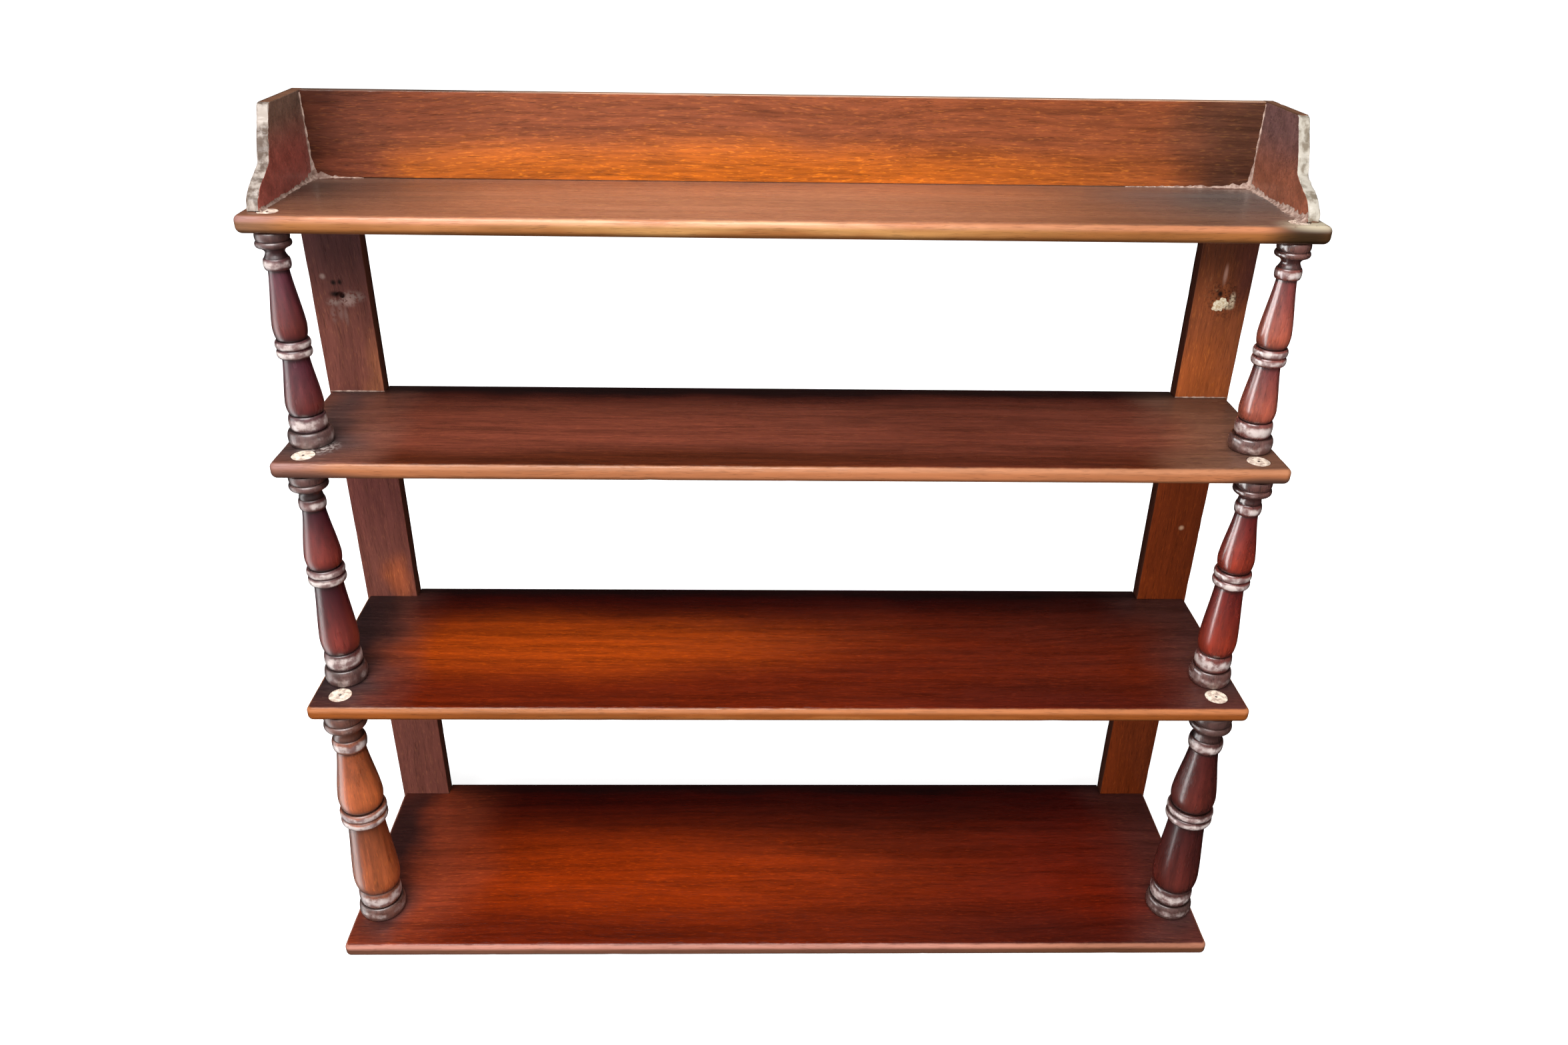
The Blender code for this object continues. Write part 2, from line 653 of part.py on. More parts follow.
def make_gallery_side(name, side):
    """An ogee-fronted gallery side: a flat outline given its thickness, bored for its screws and pins."""
    outline = gallery_side_outline()
    curve = bpy.data.curves.new(f"gallery_{name}_side", "CURVE")
    curve.dimensions = "2D"
    curve.fill_mode = "BOTH"
    curve.extrude = GALLERY_BOARD / 2
    curve.resolution_u = OUTLINE_RESOLUTION
    spline = curve.splines.new("BEZIER")
    spline.bezier_points.add(len(outline) - 1)
    spline.use_cyclic_u = True
    for knot, (point, left, right) in zip(spline.bezier_points, outline):
        knot.handle_left_type = "FREE"
        knot.handle_right_type = "FREE"
        knot.co = (*point, 0)
        knot.handle_left = (*left, 0)
        knot.handle_right = (*right, 0)
    mesh = evaluated_mesh(bpy.data.objects.new(curve.name, curve), curve.name)
    board = add_part(curve.name, mesh, at(side * SIDE_MIDDLE, 0, GALLERY_FOOT) @ STANDING)
    finish(board, MAHOGANY, POLISHED)
    ease_edges(board, GALLERY_EASING)
    cut(board, "holes", gallery_bores())


def make_gallery_back():
    """The gallery's back board, between the sides."""
    low = (-BACK_HALF_WIDTH, -GALLERY_BOARD, GALLERY_FOOT)
    high = (BACK_HALF_WIDTH, 0, GALLERY_FOOT + GALLERY_HEIGHT)
    board = add_part("gallery_back", block_mesh("gallery_back", low, high, GALLERY_EASING))
    finish(board, MAHOGANY, POLISHED)
    cut(board, "holes", gallery_bores())


def make_fasteners():
    """The screws and pins: each kind shares one mesh, and each fastener is an object of its own."""
    upright_places = {}
    for name, side in SIDES:
        for level in SHELF_LEVELS:
            upright_places[f"{name}_upright_screw_{level + 1}"] = upright_screw_place(side, level, HEAD_SINK)
    pin = rod_profile(PIN_RADIUS, -HEAD_SINK, -HEAD_SINK - PIN_LENGTH)
    kinds = (
        ("upright_screw", screw_profile(UPRIGHT_SCREW_LENGTH), upright_places),
        ("gallery_screw", screw_profile(GALLERY_SCREW_LENGTH), gallery_screw_places(HEAD_SINK)),
        ("gallery_pin", pin, gallery_pin_places()),
    )
    for kind, profile, places in kinds:
        mesh = turned_mesh(kind, profile, FASTENER_STEPS)
        for name, place in places.items():
            fastener = add_part(name, mesh, place)
            if not mesh.materials:
                finish(fastener, STEEL, WORN_METAL, metallic=1.0)


clear_scene()
PARTS = new_collection("wall_shelf")
CUTTERS = new_collection("wall_shelf_cutters")
ROOT = bpy.data.objects.new("wall_shelf", None)
PARTS.objects.link(ROOT)

for shelf_level in SHELF_LEVELS:
    cut_shelf(shelf_level, make_shelf(shelf_level))
for side_label, side_sign in SIDES:
    make_upright(side_label, side_sign)
    make_gallery_side(side_label, side_sign)
    for bay_index in range(len(BAY_NAMES)):
        make_spindle(bay_index, side_label, side_sign)
make_gallery_back()
make_plug()
make_fasteners()
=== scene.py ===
"""Looks of a graduated mahogany wall shelf: boards, turned spindles, finishes, light and camera.

Frame: +X along the shelves, +Y into the wall, +Z up, in metres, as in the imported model.
"""

import json
import math

import bmesh
import bpy
import numpy as np
from mathutils import Matrix, Vector
from mathutils.geometry import delaunay_2d_cdt

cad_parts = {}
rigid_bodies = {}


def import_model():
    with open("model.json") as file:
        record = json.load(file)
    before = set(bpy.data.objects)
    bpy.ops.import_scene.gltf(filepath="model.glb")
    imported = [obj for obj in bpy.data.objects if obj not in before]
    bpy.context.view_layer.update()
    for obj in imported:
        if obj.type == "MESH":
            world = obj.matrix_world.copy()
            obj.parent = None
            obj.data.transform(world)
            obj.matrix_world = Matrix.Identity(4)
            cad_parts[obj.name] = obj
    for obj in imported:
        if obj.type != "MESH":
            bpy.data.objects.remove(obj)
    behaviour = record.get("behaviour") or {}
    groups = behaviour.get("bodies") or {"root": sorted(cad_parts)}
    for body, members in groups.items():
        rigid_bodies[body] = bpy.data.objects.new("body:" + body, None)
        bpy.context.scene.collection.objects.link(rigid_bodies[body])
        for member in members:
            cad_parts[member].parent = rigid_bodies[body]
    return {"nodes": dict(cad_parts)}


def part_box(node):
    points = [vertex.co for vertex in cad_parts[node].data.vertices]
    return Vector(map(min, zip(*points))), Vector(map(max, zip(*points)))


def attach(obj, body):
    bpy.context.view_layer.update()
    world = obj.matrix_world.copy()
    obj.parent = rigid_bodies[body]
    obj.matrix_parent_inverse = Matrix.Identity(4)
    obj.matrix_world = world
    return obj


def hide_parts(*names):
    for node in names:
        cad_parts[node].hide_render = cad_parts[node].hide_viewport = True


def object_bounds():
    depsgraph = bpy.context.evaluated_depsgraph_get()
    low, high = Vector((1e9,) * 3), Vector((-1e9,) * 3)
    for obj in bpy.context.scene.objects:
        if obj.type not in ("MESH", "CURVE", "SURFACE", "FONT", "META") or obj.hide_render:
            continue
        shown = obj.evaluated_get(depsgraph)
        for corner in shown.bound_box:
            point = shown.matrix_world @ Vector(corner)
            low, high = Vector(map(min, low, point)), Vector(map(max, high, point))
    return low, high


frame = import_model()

CAD_BOX = [list(corner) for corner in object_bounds()]

SIDES = (("left", -1), ("right", 1))
BAYS = ("upper", "middle", "lower")
SHELVES = ("top_shelf", "second_shelf", "third_shelf", "bottom_shelf")

# Board axes: rows are the directions of a board's length, breadth and thickness
LYING = np.array(((1, 0, 0), (0, 1, 0), (0, 0, 1)), dtype=float)
UPRIGHT = np.array(((1, 0, 0), (0, 0, 1), (0, -1, 0)), dtype=float)
CROSSWISE = np.array(((0, 1, 0), (0, 0, 1), (1, 0, 0)), dtype=float)

# Edges of the boards
NOSE_RADIUS = 0.0055
CORNER_RADIUS = 0.0062
BOARD_EASING = 0.0008
REAR_EASING = 0.0004
FACE_RING = 0.0004
FIT_GAP = 0.0003
SEAT_GAP = 0.0003

# Dents along the edges: number, depth, reach and seed
DENTS = {
    "shelf": (90, 0.00035, 0.006, 11),
    "upright": (60, 0.0005, 0.007, 31),
    "gallery_back": (40, 0.0004, 0.006, 41),
    "gallery_side": (30, 0.0004, 0.005, 61),
    "gallery_front": (130, 0.0011, 0.0028, 51),
}

# Breadth of a dent and range of its level, as shares of the rim, and ranges of its reach and depth
DENT_BREADTH = 0.16
DENT_LEVELS = (0.1, 0.9)
DENT_REACHES = (0.4, 1.6)
DENT_DEPTHS = (0.2, 1.0)

# Holes
FOOT_TENON_RADIUS = 0.008
FOOT_SOCKET_DEPTH = 0.0086
TENON_END_DROP = 0.0002
WALL_HOLE_DROP = 0.096
WALL_HOLE_RADIUS = 0.0026
WALL_HOLE_SINK_RADIUS = 0.0052
WALL_HOLE_SINK_DEPTH = 0.003
SCREW_MOUTH_RADIUS = 0.0041
SCREW_BORE_RADIUS = 0.0022
SCREW_HEAD_DEPTH = 0.0004
SCREW_SINK_DEPTH = 0.0032
PIN_BORE_RADIUS = 0.0012

# Spindles: one turning pattern in three sizes, each member as (radius, height) and each vase as
# (neck, belly, height), where the lower vase takes up the height that is left
TURNINGS = {
    "upper": {
        "tenon": 0.009, "cap": (0.015, 0.013), "neck": (0.008, 0.0094), "bead": (0.0114, 0.010),
        "upper_vase": (0.0086, 0.0145, 0.0622), "collar": (0.0152, 0.016),
        "lower_vase": (0.0113, 0.0165), "ring": (0.0168, 0.015), "foot": (0.0200, 0.0145),
    },
    "middle": {
        "tenon": 0.0105, "cap": (0.0174, 0.0152), "neck": (0.010, 0.010), "bead": (0.0122, 0.0113),
        "upper_vase": (0.0102, 0.0168, 0.061), "collar": (0.0175, 0.0172),
        "lower_vase": (0.0132, 0.0183), "ring": (0.0178, 0.0177), "foot": (0.0203, 0.0175),
    },
    "lower": {
        "tenon": 0.011, "cap": (0.0208, 0.0195), "neck": (0.013, 0.0128), "bead": (0.0168, 0.0146),
        "upper_vase": (0.014, 0.0222, 0.075), "collar": (0.0233, 0.0187),
        "lower_vase": (0.018, 0.0236), "ring": (0.0218, 0.0195), "foot": (0.0240, 0.017),
    },
}
CAP_UPPER_RING_SHARE = 0.58
CAP_UPPER_RING_RATIO = 0.95
RING_ROOT_RATIO = 0.86
VASE_PEAK_SHARE = 0.80
VASE_END_RATIO = 0.80
VASE_STRAIGHT_SHARE = 0.55
FOOT_TENON_LENGTH = 0.008
DISC_RINGS = (0, 0.06, 0.11, 0.16, 0.3, 0.6, 0.85, 0.97)

# Marks on the spindles: how dark and how narrow the grooves are, and how the glow grows, a painted light on
# the bellies of the vases that also stands for their rubbed finish
COVE_GROOVE = 0.3
COVE_GROOVE_POWER = 8
NECK_GROOVE = 0.03
END_GROOVE = 0.06
GLOW_POWER = 1.5

# Gallery
GALLERY_WAIST_SETBACK = 0.0525
GALLERY_WAIST_HEIGHT = 0.034
GALLERY_TOP_SETBACK = 0.0775
TOE_RISE = 0.60
HOLLOW_DROP = 0.24
HOLLOW_REACH = 0.06
SLOPE_RISE = 0.25
SLOPE_LEAN = 0.12
SHOULDER_REACH = 0.30
SHOULDER_DROP = 0.14
SHOULDER_LEAN = 0.20
SHOULDER_ROUND = 0.85

# Filler in the right wall hole: its reach, the waves of its outline as (size, count, phase), its lumps
FILLER_REACH = 0.0068
FILLER_WAVES = ((0.16, 2, 0.4), (0.10, 5, 1.3), (0.07, 9, 0.0))
FILLER_LUMPS = 0.18
FILLER_LIFT = 0.0001

# Wax lines in the gallery's corners: sizes from the rear corner outwards, and where the lines end
WAX_SIZES = {
    "left": {
        "side": (0.0060, 0.0026, 0.0024, 0.0022, 0.0024),
        "corner": (0.0042, 0.0014, 0.0012, 0.0011, 0.0009),
        "foot": (0.0058, 0.0018, 0.0006),
    },
    "right": {
        "side": (0.0050, 0.0028, 0.0030, 0.0046, 0.0070),
        "corner": (0.0036, 0.0012, 0.0010, 0.0009, 0.0008),
        "foot": (0.0048, 0.0020, 0.0012, 0.0005),
    },
}
WAX_FOOT_ENDS = {"left": 0.392, "right": 0.32}
WAX_TOE_INSET = 0.002
WAX_TOP_INSET = 0.002
WAX_SEED = 71
WAX_WAVER = (0.45, 1.35)
UPRIGHT_WAX_SIZES = (0.0006, 0.0011, 0.0006)
UPRIGHT_WAX_SEED = 81

# Fineness of the surfaces
NOSE_STEPS = 8
EASING_STEPS = 3
CORNER_STEPS = 10
EDGE_SPACING = 0.003
OGEE_SPACING = 0.0009
OGEE_STEPS = 400
CORNER_CLEARANCE = 0.0016
HOLE_STEPS = 48
LATHE_STEPS = 96
RING_STEPS = 14
COVE_STEPS = 10
VASE_RISE_STEPS = 28
VASE_TURN_STEPS = 10
DOME_ROWS = 9
WAX_SPACING = 0.0012
WAX_STEPS = 5
SHARP_ANGLE = math.radians(38)
MERGE_DISTANCE = 0.000001


def box(node):
    """Lowest and highest corner of a node of the frame, as arrays."""
    low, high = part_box(node)
    return np.array(low), np.array(high)


def centre_of(node):
    """The middle of a node's box."""
    return sum(box(node)) / 2


def spindle_axis(bay, side_name):
    """Where a spindle's axis stands, seen from above."""
    return centre_of(f"{bay}_{side_name}_spindle")[:2]


def circle(steps):
    """Angles of evenly spaced points round a circle."""
    return np.arange(steps) * 2 * np.pi / steps


def distances(points):
    """How far along a path each of its points lies."""
    return np.concatenate([[0], np.cumsum(np.linalg.norm(np.diff(points, axis=0), axis=1))])


def closed_rows(rows, columns):
    """Quads between neighbouring rows of a grid whose columns close into rings."""
    row = np.arange(rows - 1)[:, None] * columns
    column = np.arange(columns)
    following = (column + 1) % columns
    corners = [row + column, row + columns + column, row + columns + following, row + following]
    return np.stack(corners, axis=-1).reshape(-1, 4)


def new_piece(name, points, faces, marks, finish, replaced=()):
    """A piece of the shelf from points, faces and marks, one number a point, that its finish reads."""
    mesh = bpy.data.meshes.new(name)
    mesh.from_pydata(points.tolist(), [], faces)
    for mark, values in marks.items():
        layer = mesh.attributes.new(mark, "FLOAT", "POINT")
        layer.data.foreach_set("value", np.ascontiguousarray(values, dtype=np.float32))
    bm = bmesh.new()
    bm.from_mesh(mesh)
    bmesh.ops.remove_doubles(bm, verts=bm.verts[:], dist=MERGE_DISTANCE)
    bmesh.ops.recalc_face_normals(bm, faces=bm.faces[:])
    bm.to_mesh(mesh)
    bm.free()
    mesh.shade_smooth()
    mesh.set_sharp_from_angle(angle=SHARP_ANGLE)
    mesh.materials.append(finish)
    piece = bpy.data.objects.new(name, mesh)
    bpy.context.scene.collection.objects.link(piece)
    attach(piece, "root")
    if replaced:
        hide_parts(*replaced)


def stretch_between(start, end):
    """Evenly spaced points on a straight stretch of an edge, without its end."""
    start = np.array(start, dtype=float)
    way = np.array(end, dtype=float) - start
    count = max(1, round(float(np.linalg.norm(way)) / EDGE_SPACING))
    return start + way * np.arange(count)[:, None] / count


def rectangle(low, high):
    """Outline of a rectangle, counter-clockwise, with points along its sides."""
    corners = [(low[0], low[1]), (high[0], low[1]), (high[0], high[1]), (low[0], high[1])]
    following = corners[1:] + corners[:1]
    return np.concatenate([stretch_between(a, b) for a, b in zip(corners, following)])


def inward_directions(outline, radii):
    """Directions that shift a counter-clockwise outline inwards by one, mitred where two edges meet.

    Mitre of unit edge normals n and m: (n + m) / (1 + n . m). Where a wide rounding ends at a narrow one,
    the point moves along the normal of the wide one alone.
    """
    ahead = np.roll(outline, -1, axis=0) - outline
    ahead /= np.linalg.norm(ahead, axis=1, keepdims=True)
    inward = np.stack([-ahead[:, 1], ahead[:, 0]], axis=1)
    before = np.roll(inward, 1, axis=0)
    mitre = (before + inward) / (1 + np.sum(before * inward, axis=1, keepdims=True))
    mitre = np.where((radii > np.roll(radii, -1))[:, None], before, mitre)
    return np.where((radii > np.roll(radii, 1))[:, None], inward, mitre)


def rim(radii, low, high, steps, side_rows):
    """Insets and heights of a rim: flat ring, quarter round, straight side, quarter round, flat ring.

    On a quarter round at angle a: inset = r (1 - sin a), and distance below the face = r (1 - cos a).
    """
    angle = np.linspace(0, np.pi / 2, steps + 1)
    round_inset = np.outer(1 - np.sin(angle), radii)
    round_drop = np.outer(1 - np.cos(angle), radii)
    ring = (radii + FACE_RING)[None]
    share = np.linspace(0, 1, side_rows + 2)[1:-1, None]
    side_heights = (high - radii) + (low + radii - high + radii) * share
    flat = np.ones_like(ring)
    insets = np.concatenate([ring, round_inset, side_heights * 0, round_inset[::-1], ring])
    heights = np.concatenate(
        [flat * high, high - round_drop, side_heights, low + round_drop[::-1], flat * low]
    )
    return insets, heights


def dents(along, rows, kind, shift):
    """Small hollows along a rim: the sum of depth exp(-((u - u0) / reach)^2 - ((v - v0) / breadth)^2)."""
    count, depth, reach, seed = DENTS[kind]
    draw = np.random.default_rng(seed + shift)
    place = draw.uniform(0, along[-1], (count, 1))
    level = draw.uniform(*DENT_LEVELS, (count, 1))
    reaches = draw.uniform(*DENT_REACHES, (count, 1)) * reach
    strength = draw.uniform(*DENT_DEPTHS, count) * depth
    across = np.linspace(0, 1, rows)[None]
    bell_along = np.exp(-(((along[None] - place) / reaches) ** 2))
    bell_across = np.exp(-(((across - level) / DENT_BREADTH) ** 2))
    return np.einsum("k,kv,ku->vu", strength, bell_across, bell_along)


def filled(loops, offsets):
    """Triangles between an outer loop and the holes in it, as point numbers of the whole board.

    A triangle whose three points all lie on one hole fills that hole, so it is left out.
    """
    flat = np.concatenate(loops)
    numbers = np.concatenate([offset + np.arange(len(loop)) for loop, offset in zip(loops, offsets)])
    edges = []
    start = 0
    for loop in loops:
        ring = np.arange(len(loop))
        edges += np.stack([start + ring, start + np.roll(ring, -1)], axis=1).tolist()
        start += len(loop)
    result = delaunay_2d_cdt([Vector(point) for point in flat], edges, [], 1, MERGE_DISTANCE)
    origin = np.array([sources[0] for sources in result[3]])
    triangles = origin[np.array(result[2])]
    loop_number = np.repeat(np.arange(len(loops)), [len(loop) for loop in loops])[triangles]
    in_hole = (loop_number == loop_number[:, :1]).all(axis=1) & (loop_number[:, 0] > 0)
    return numbers[triangles[~in_hole]]


class Hole:
    """A round hole: (depth, radius) steps from the upper face (face = 1) or the lower one (face = -1)."""

    def __init__(self, centre, profile, face=1, through=True):
        self.centre = np.array(centre, dtype=float)
        self.depth, self.radius = np.array(profile, dtype=float).T
        self.face = face
        self.through = through

    def rings(self, low, high):
        """Points of the wall: centre + radius (cos t, sin t), at the step's depth below the face."""
        turn = circle(HOLE_STEPS)
        around = np.stack([np.cos(turn), np.sin(turn)], axis=1)
        flat = self.centre + self.radius[:, None, None] * around[None]
        mouth = high if self.face > 0 else low
        height = np.broadcast_to((mouth - self.face * self.depth)[:, None, None], (*flat.shape[:2], 1))
        return np.concatenate([flat, height], axis=2)


def screw_hole(centre, thickness):
    """A screw hole right through a board, countersunk in its lower face."""
    profile = [
        (0, SCREW_MOUTH_RADIUS),
        (SCREW_HEAD_DEPTH, SCREW_MOUTH_RADIUS),
        (SCREW_SINK_DEPTH, SCREW_BORE_RADIUS),
        (thickness, SCREW_BORE_RADIUS),
    ]
    return Hole(centre, profile, -1)


def make_board(
    node, finish, outline, radii, low, high, axes, kind, shift,
    holes=(), steps=EASING_STEPS, side_rows=2, fronts=None,
):
    """A board: an outline of given thickness with rounded edges, dented rim and round holes.

    Point of the rim = outline + inward (inset + dent), at the rim's height; the two faces are filled flat.
    The mark edge is 0 on the faces and 1 on the sides, rise runs from -1 at the lower face to 1 at the
    upper one, and front marks a stretch of the edge that is chipped more. The dents are of the given kind,
    with their seed shifted so that like boards differ.
    """
    radii = np.broadcast_to(radii, len(outline))
    inward = inward_directions(outline, radii)
    insets, heights = rim(radii, low, high, steps, side_rows)
    edge = np.clip(1 - insets / radii, 0, 1)
    rows, columns = heights.shape
    along = distances(outline)
    insets += dents(along, rows, kind, shift)
    if fronts is None:
        fronts = np.zeros(columns)
    else:
        insets += dents(along, rows, "gallery_front", shift) * fronts[None]
    flat = outline[None] + inward[None] * insets[..., None]
    points = [np.concatenate([flat, heights[..., None]], axis=2).reshape(-1, 3)]
    faces = closed_rows(rows, columns).tolist()
    loops = {1: [(flat[0], 0)], -1: [(flat[-1], (rows - 1) * columns)]}
    total = rows * columns
    for hole in holes:
        rings = hole.rings(low, high)
        last = total + (len(rings) - 1) * HOLE_STEPS
        points.append(rings.reshape(-1, 3))
        faces += (closed_rows(len(rings), HOLE_STEPS) + total).tolist()
        loops[hole.face].append((rings[0, :, :2], total))
        if hole.through:
            loops[-hole.face].append((rings[-1, :, :2], last))
        else:
            faces.append((last + np.arange(HOLE_STEPS)).tolist())
        total += len(rings) * HOLE_STEPS
    for face_loops in loops.values():
        faces += filled(*zip(*face_loops)).tolist()
    spare = np.zeros(total - rows * columns)
    rise = (2 * heights - low - high) / (high - low)
    marks = {"edge": edge, "rise": rise, "front": edge * fronts[None]}
    marks = {name: np.concatenate([values.ravel(), spare]) for name, values in marks.items()}
    new_piece(f"{node}_board", np.concatenate(points) @ axes, faces, marks, finish, [node])


def shelf_outline(low, high):
    """Outline of a shelf from above and its edge radii, with a round nose and ends and notches behind."""
    upright_low, _ = box("right_upright")
    notch_x = upright_low[0] - FIT_GAP
    notch_y = upright_low[1] - SEAT_GAP
    corner = (high[0] - CORNER_RADIUS, low[1] + CORNER_RADIUS)
    turn = np.linspace(0, np.pi / 2, CORNER_STEPS + 1)[:-1, None]
    front = stretch_between((0, low[1]), (corner[0], low[1]))
    arc = np.array(corner) + CORNER_RADIUS * np.concatenate([np.sin(turn), -np.cos(turn)], axis=1)
    end = stretch_between((high[0], corner[1]), (high[0], notch_y))
    behind = np.array([(high[0], notch_y), (notch_x, notch_y), (notch_x, high[1])])
    half = np.concatenate([front, arc, end, behind])
    radii = np.full(len(half), NOSE_RADIUS)
    radii[-2:] = REAR_EASING
    mirrored = half[:0:-1] * (-1, 1)
    return np.concatenate([half, mirrored]), np.concatenate([radii, radii[:0:-1]])


def make_shelf(level, finish):
    """A shelf with holes for the through tenons, sockets for the feet and, on top, the gallery's screws."""
    node = SHELVES[level]
    low, high = box(node)
    thickness = high[2] - low[2]
    holes = []
    for side_name, _ in SIDES:
        if level < len(BAYS):
            bay = BAYS[level]
            radius = TURNINGS[bay]["tenon"] + FIT_GAP
            holes.append(Hole(spindle_axis(bay, side_name), [(0, radius), (thickness, radius)]))
        if level > 0:
            radius = FOOT_TENON_RADIUS + FIT_GAP
            socket = [(0, radius), (FOOT_SOCKET_DEPTH, radius)]
            holes.append(Hole(spindle_axis(BAYS[level - 1], side_name), socket, through=False))
    if level == 0:
        screws = [name for name in frame["nodes"] if name.startswith("gallery_") and "screw" in name]
        holes += [screw_hole(centre_of(name)[:2], thickness) for name in sorted(screws)]
    outline, radii = shelf_outline(low, high)
    make_board(
        node, finish, outline, radii, low[2], high[2], LYING, "shelf", level, holes, NOSE_STEPS, 1
    )


def make_upright(side_name, side, finish):
    """A back upright with its wall hole, countersunk in front, and the shelf screws' holes behind."""
    node = f"{side_name}_upright"
    low, high = box(node)
    thickness = high[1] - low[1]
    middle = centre_of(node)[0]
    shelf_low, _ = box("top_shelf")
    wall_hole = [
        (0, WALL_HOLE_SINK_RADIUS),
        (WALL_HOLE_SINK_DEPTH, WALL_HOLE_RADIUS),
        (thickness, WALL_HOLE_RADIUS),
    ]
    holes = [Hole((middle, shelf_low[2] - WALL_HOLE_DROP), wall_hole)]
    holes += [screw_hole((middle, centre_of(shelf)[2]), thickness) for shelf in SHELVES]
    outline = rectangle(low[::2], high[::2])
    make_board(node, finish, outline, BOARD_EASING, 0.0, thickness, UPRIGHT, "upright", side, holes)


def make_gallery_back(finish):
    """The gallery's back board."""
    node = "gallery_back"
    low, high = box(node)
    outline = rectangle(low[::2], high[::2])
    make_board(node, finish, outline, BOARD_EASING, -high[1], -low[1], UPRIGHT, node, 0)


def ogee_outline(length, height):
    """Outline of a gallery side, as (forward, up) points from its rear foot, with a mark on its worn front.

    Cubic Bezier spans between the knots: (1-t)^3 p + 3 (1-t)^2 t h + 3 (1-t) t^2 k + t^3 q.
    """
    shelf_low, shelf_high = box("top_shelf")
    depth = shelf_high[1] - shelf_low[1]
    waist = depth - GALLERY_WAIST_SETBACK
    top = depth - GALLERY_TOP_SETBACK
    slope_run = waist - top
    slope_rise = height - GALLERY_WAIST_HEIGHT
    shoulder = np.array((top + SHOULDER_REACH * slope_run, height - SHOULDER_DROP * slope_rise))
    lean = np.array((SHOULDER_LEAN * slope_run, -SLOPE_RISE * slope_rise))
    round_up = SHOULDER_ROUND * (height - shoulder[1])
    round_back = SHOULDER_ROUND * (shoulder[0] - top) / 2
    hollow = np.array((waist, GALLERY_WAIST_HEIGHT))
    hollow_low = (waist + HOLLOW_REACH * (length - waist), (1 - HOLLOW_DROP) * GALLERY_WAIST_HEIGHT)
    hollow_high = hollow + (-SLOPE_LEAN * slope_run, SLOPE_RISE * slope_rise)
    rear_foot, toe, rear_top, front_top = (0, 0), (length, 0), (0, height), (top, height)
    spans = [
        (rear_foot, rear_foot, toe, toe, 0),
        (toe, (length, TOE_RISE * GALLERY_WAIST_HEIGHT), hollow_low, hollow, 1),
        (hollow, hollow_high, shoulder + lean, shoulder, 1),
        (shoulder, shoulder + lean * round_up / lean[1], (top + round_back, height), front_top, 1),
        (front_top, front_top, rear_top, rear_top, 0),
        (rear_top, rear_top, rear_foot, rear_foot, 0),
    ]
    t = np.linspace(0, 1, OGEE_STEPS)[:, None]
    weights = ((1 - t) ** 3, 3 * (1 - t) ** 2 * t, 3 * (1 - t) * t**2, t**3)
    points, fronts = [], []
    for *knots, front in spans:
        curve = sum(weight * np.array(knot, dtype=float) for weight, knot in zip(weights, knots))
        gone = distances(curve)
        count = round(gone[-1] / OGEE_SPACING)
        even = np.linspace(CORNER_CLEARANCE, gone[-1] - CORNER_CLEARANCE, count)
        even = np.concatenate([[0], even])
        points.append(np.stack([np.interp(even, gone, axis) for axis in curve.T], axis=1))
        fronts.append(np.full(len(even), float(front)))
    return np.concatenate(points), np.concatenate(fronts)


def make_gallery_side(side_name, side, finish):
    """An ogee-fronted gallery side, chipped and rubbed in front, with the pins' holes in its outer face."""
    node = f"gallery_{side_name}_side"
    low, high = box(node)
    forward, fronts = ogee_outline(high[1] - low[1], high[2] - low[2])
    outline = (forward * (-1, 1) + (high[1], low[2]))[::-1]
    pins = sorted(name for name in frame["nodes"] if name.startswith(f"gallery_{side_name}_pin"))
    bore = [(0, PIN_BORE_RADIUS), (high[0] - low[0], PIN_BORE_RADIUS)]
    holes = [Hole(centre_of(name)[1:], bore, face=side) for name in pins]
    make_board(
        node, finish, outline, BOARD_EASING, low[0], high[0], CROSSWISE, "gallery_side", side,
        holes, side_rows=5, fronts=fronts[::-1],
    )


# Each member of a spindle is given by its radius, its drop and the marks of its crest, groove and glow; the
# crest is lightened by wear and a painted highlight, the glow by painted light and rubbed finish
def bead(root, radius, height):
    """A rounded member: radius = root + (full - root) sin a, drop = height (1 - cos a) / 2, a = 0 to pi."""
    angle = np.linspace(0, np.pi, RING_STEPS + 1)
    swell = np.sin(angle)
    drop = height * (1 - np.cos(angle)) / 2
    return root + (radius - root) * swell, drop, swell**2, (1 - swell) ** 4, swell / 2


def cove(start, neck, end, height):
    """A hollow member: the straight run from start to end dips to the neck by half a sine."""
    share = np.linspace(0, 1, COVE_STEPS + 1)
    straight = start + (end - start) * share
    radius = straight + (neck - straight) * np.sin(np.pi * share)
    groove = COVE_GROOVE + (1 - COVE_GROOVE) * np.cos(np.pi * share) ** COVE_GROOVE_POWER
    return radius, height * share, share * 0, groove, share * 0


def vase(neck, belly, height):
    """A vase: from neck to belly part straight, part as the S 3t^2 - 2t^3, then in on a quarter ellipse."""
    share = np.linspace(0, 1, VASE_RISE_STEPS + 1)
    swell = VASE_STRAIGHT_SHARE * share + (1 - VASE_STRAIGHT_SHARE) * share**2 * (3 - 2 * share)
    angle = np.linspace(0, np.pi / 2, VASE_TURN_STEPS + 1)[1:]
    end = belly * VASE_END_RATIO
    radius = np.concatenate([neck + (belly - neck) * swell, end + (belly - end) * np.cos(angle)])
    turn_drop = VASE_PEAK_SHARE + (1 - VASE_PEAK_SHARE) * np.sin(angle)
    drop = np.concatenate([VASE_PEAK_SHARE * share, turn_drop])
    groove = np.exp(-((drop / NECK_GROOVE) ** 2)) + np.exp(-(((1 - drop) / END_GROOVE) ** 2))
    glow = np.concatenate([share**GLOW_POWER, np.cos(angle)])
    return radius, height * drop, drop * 0, groove, glow


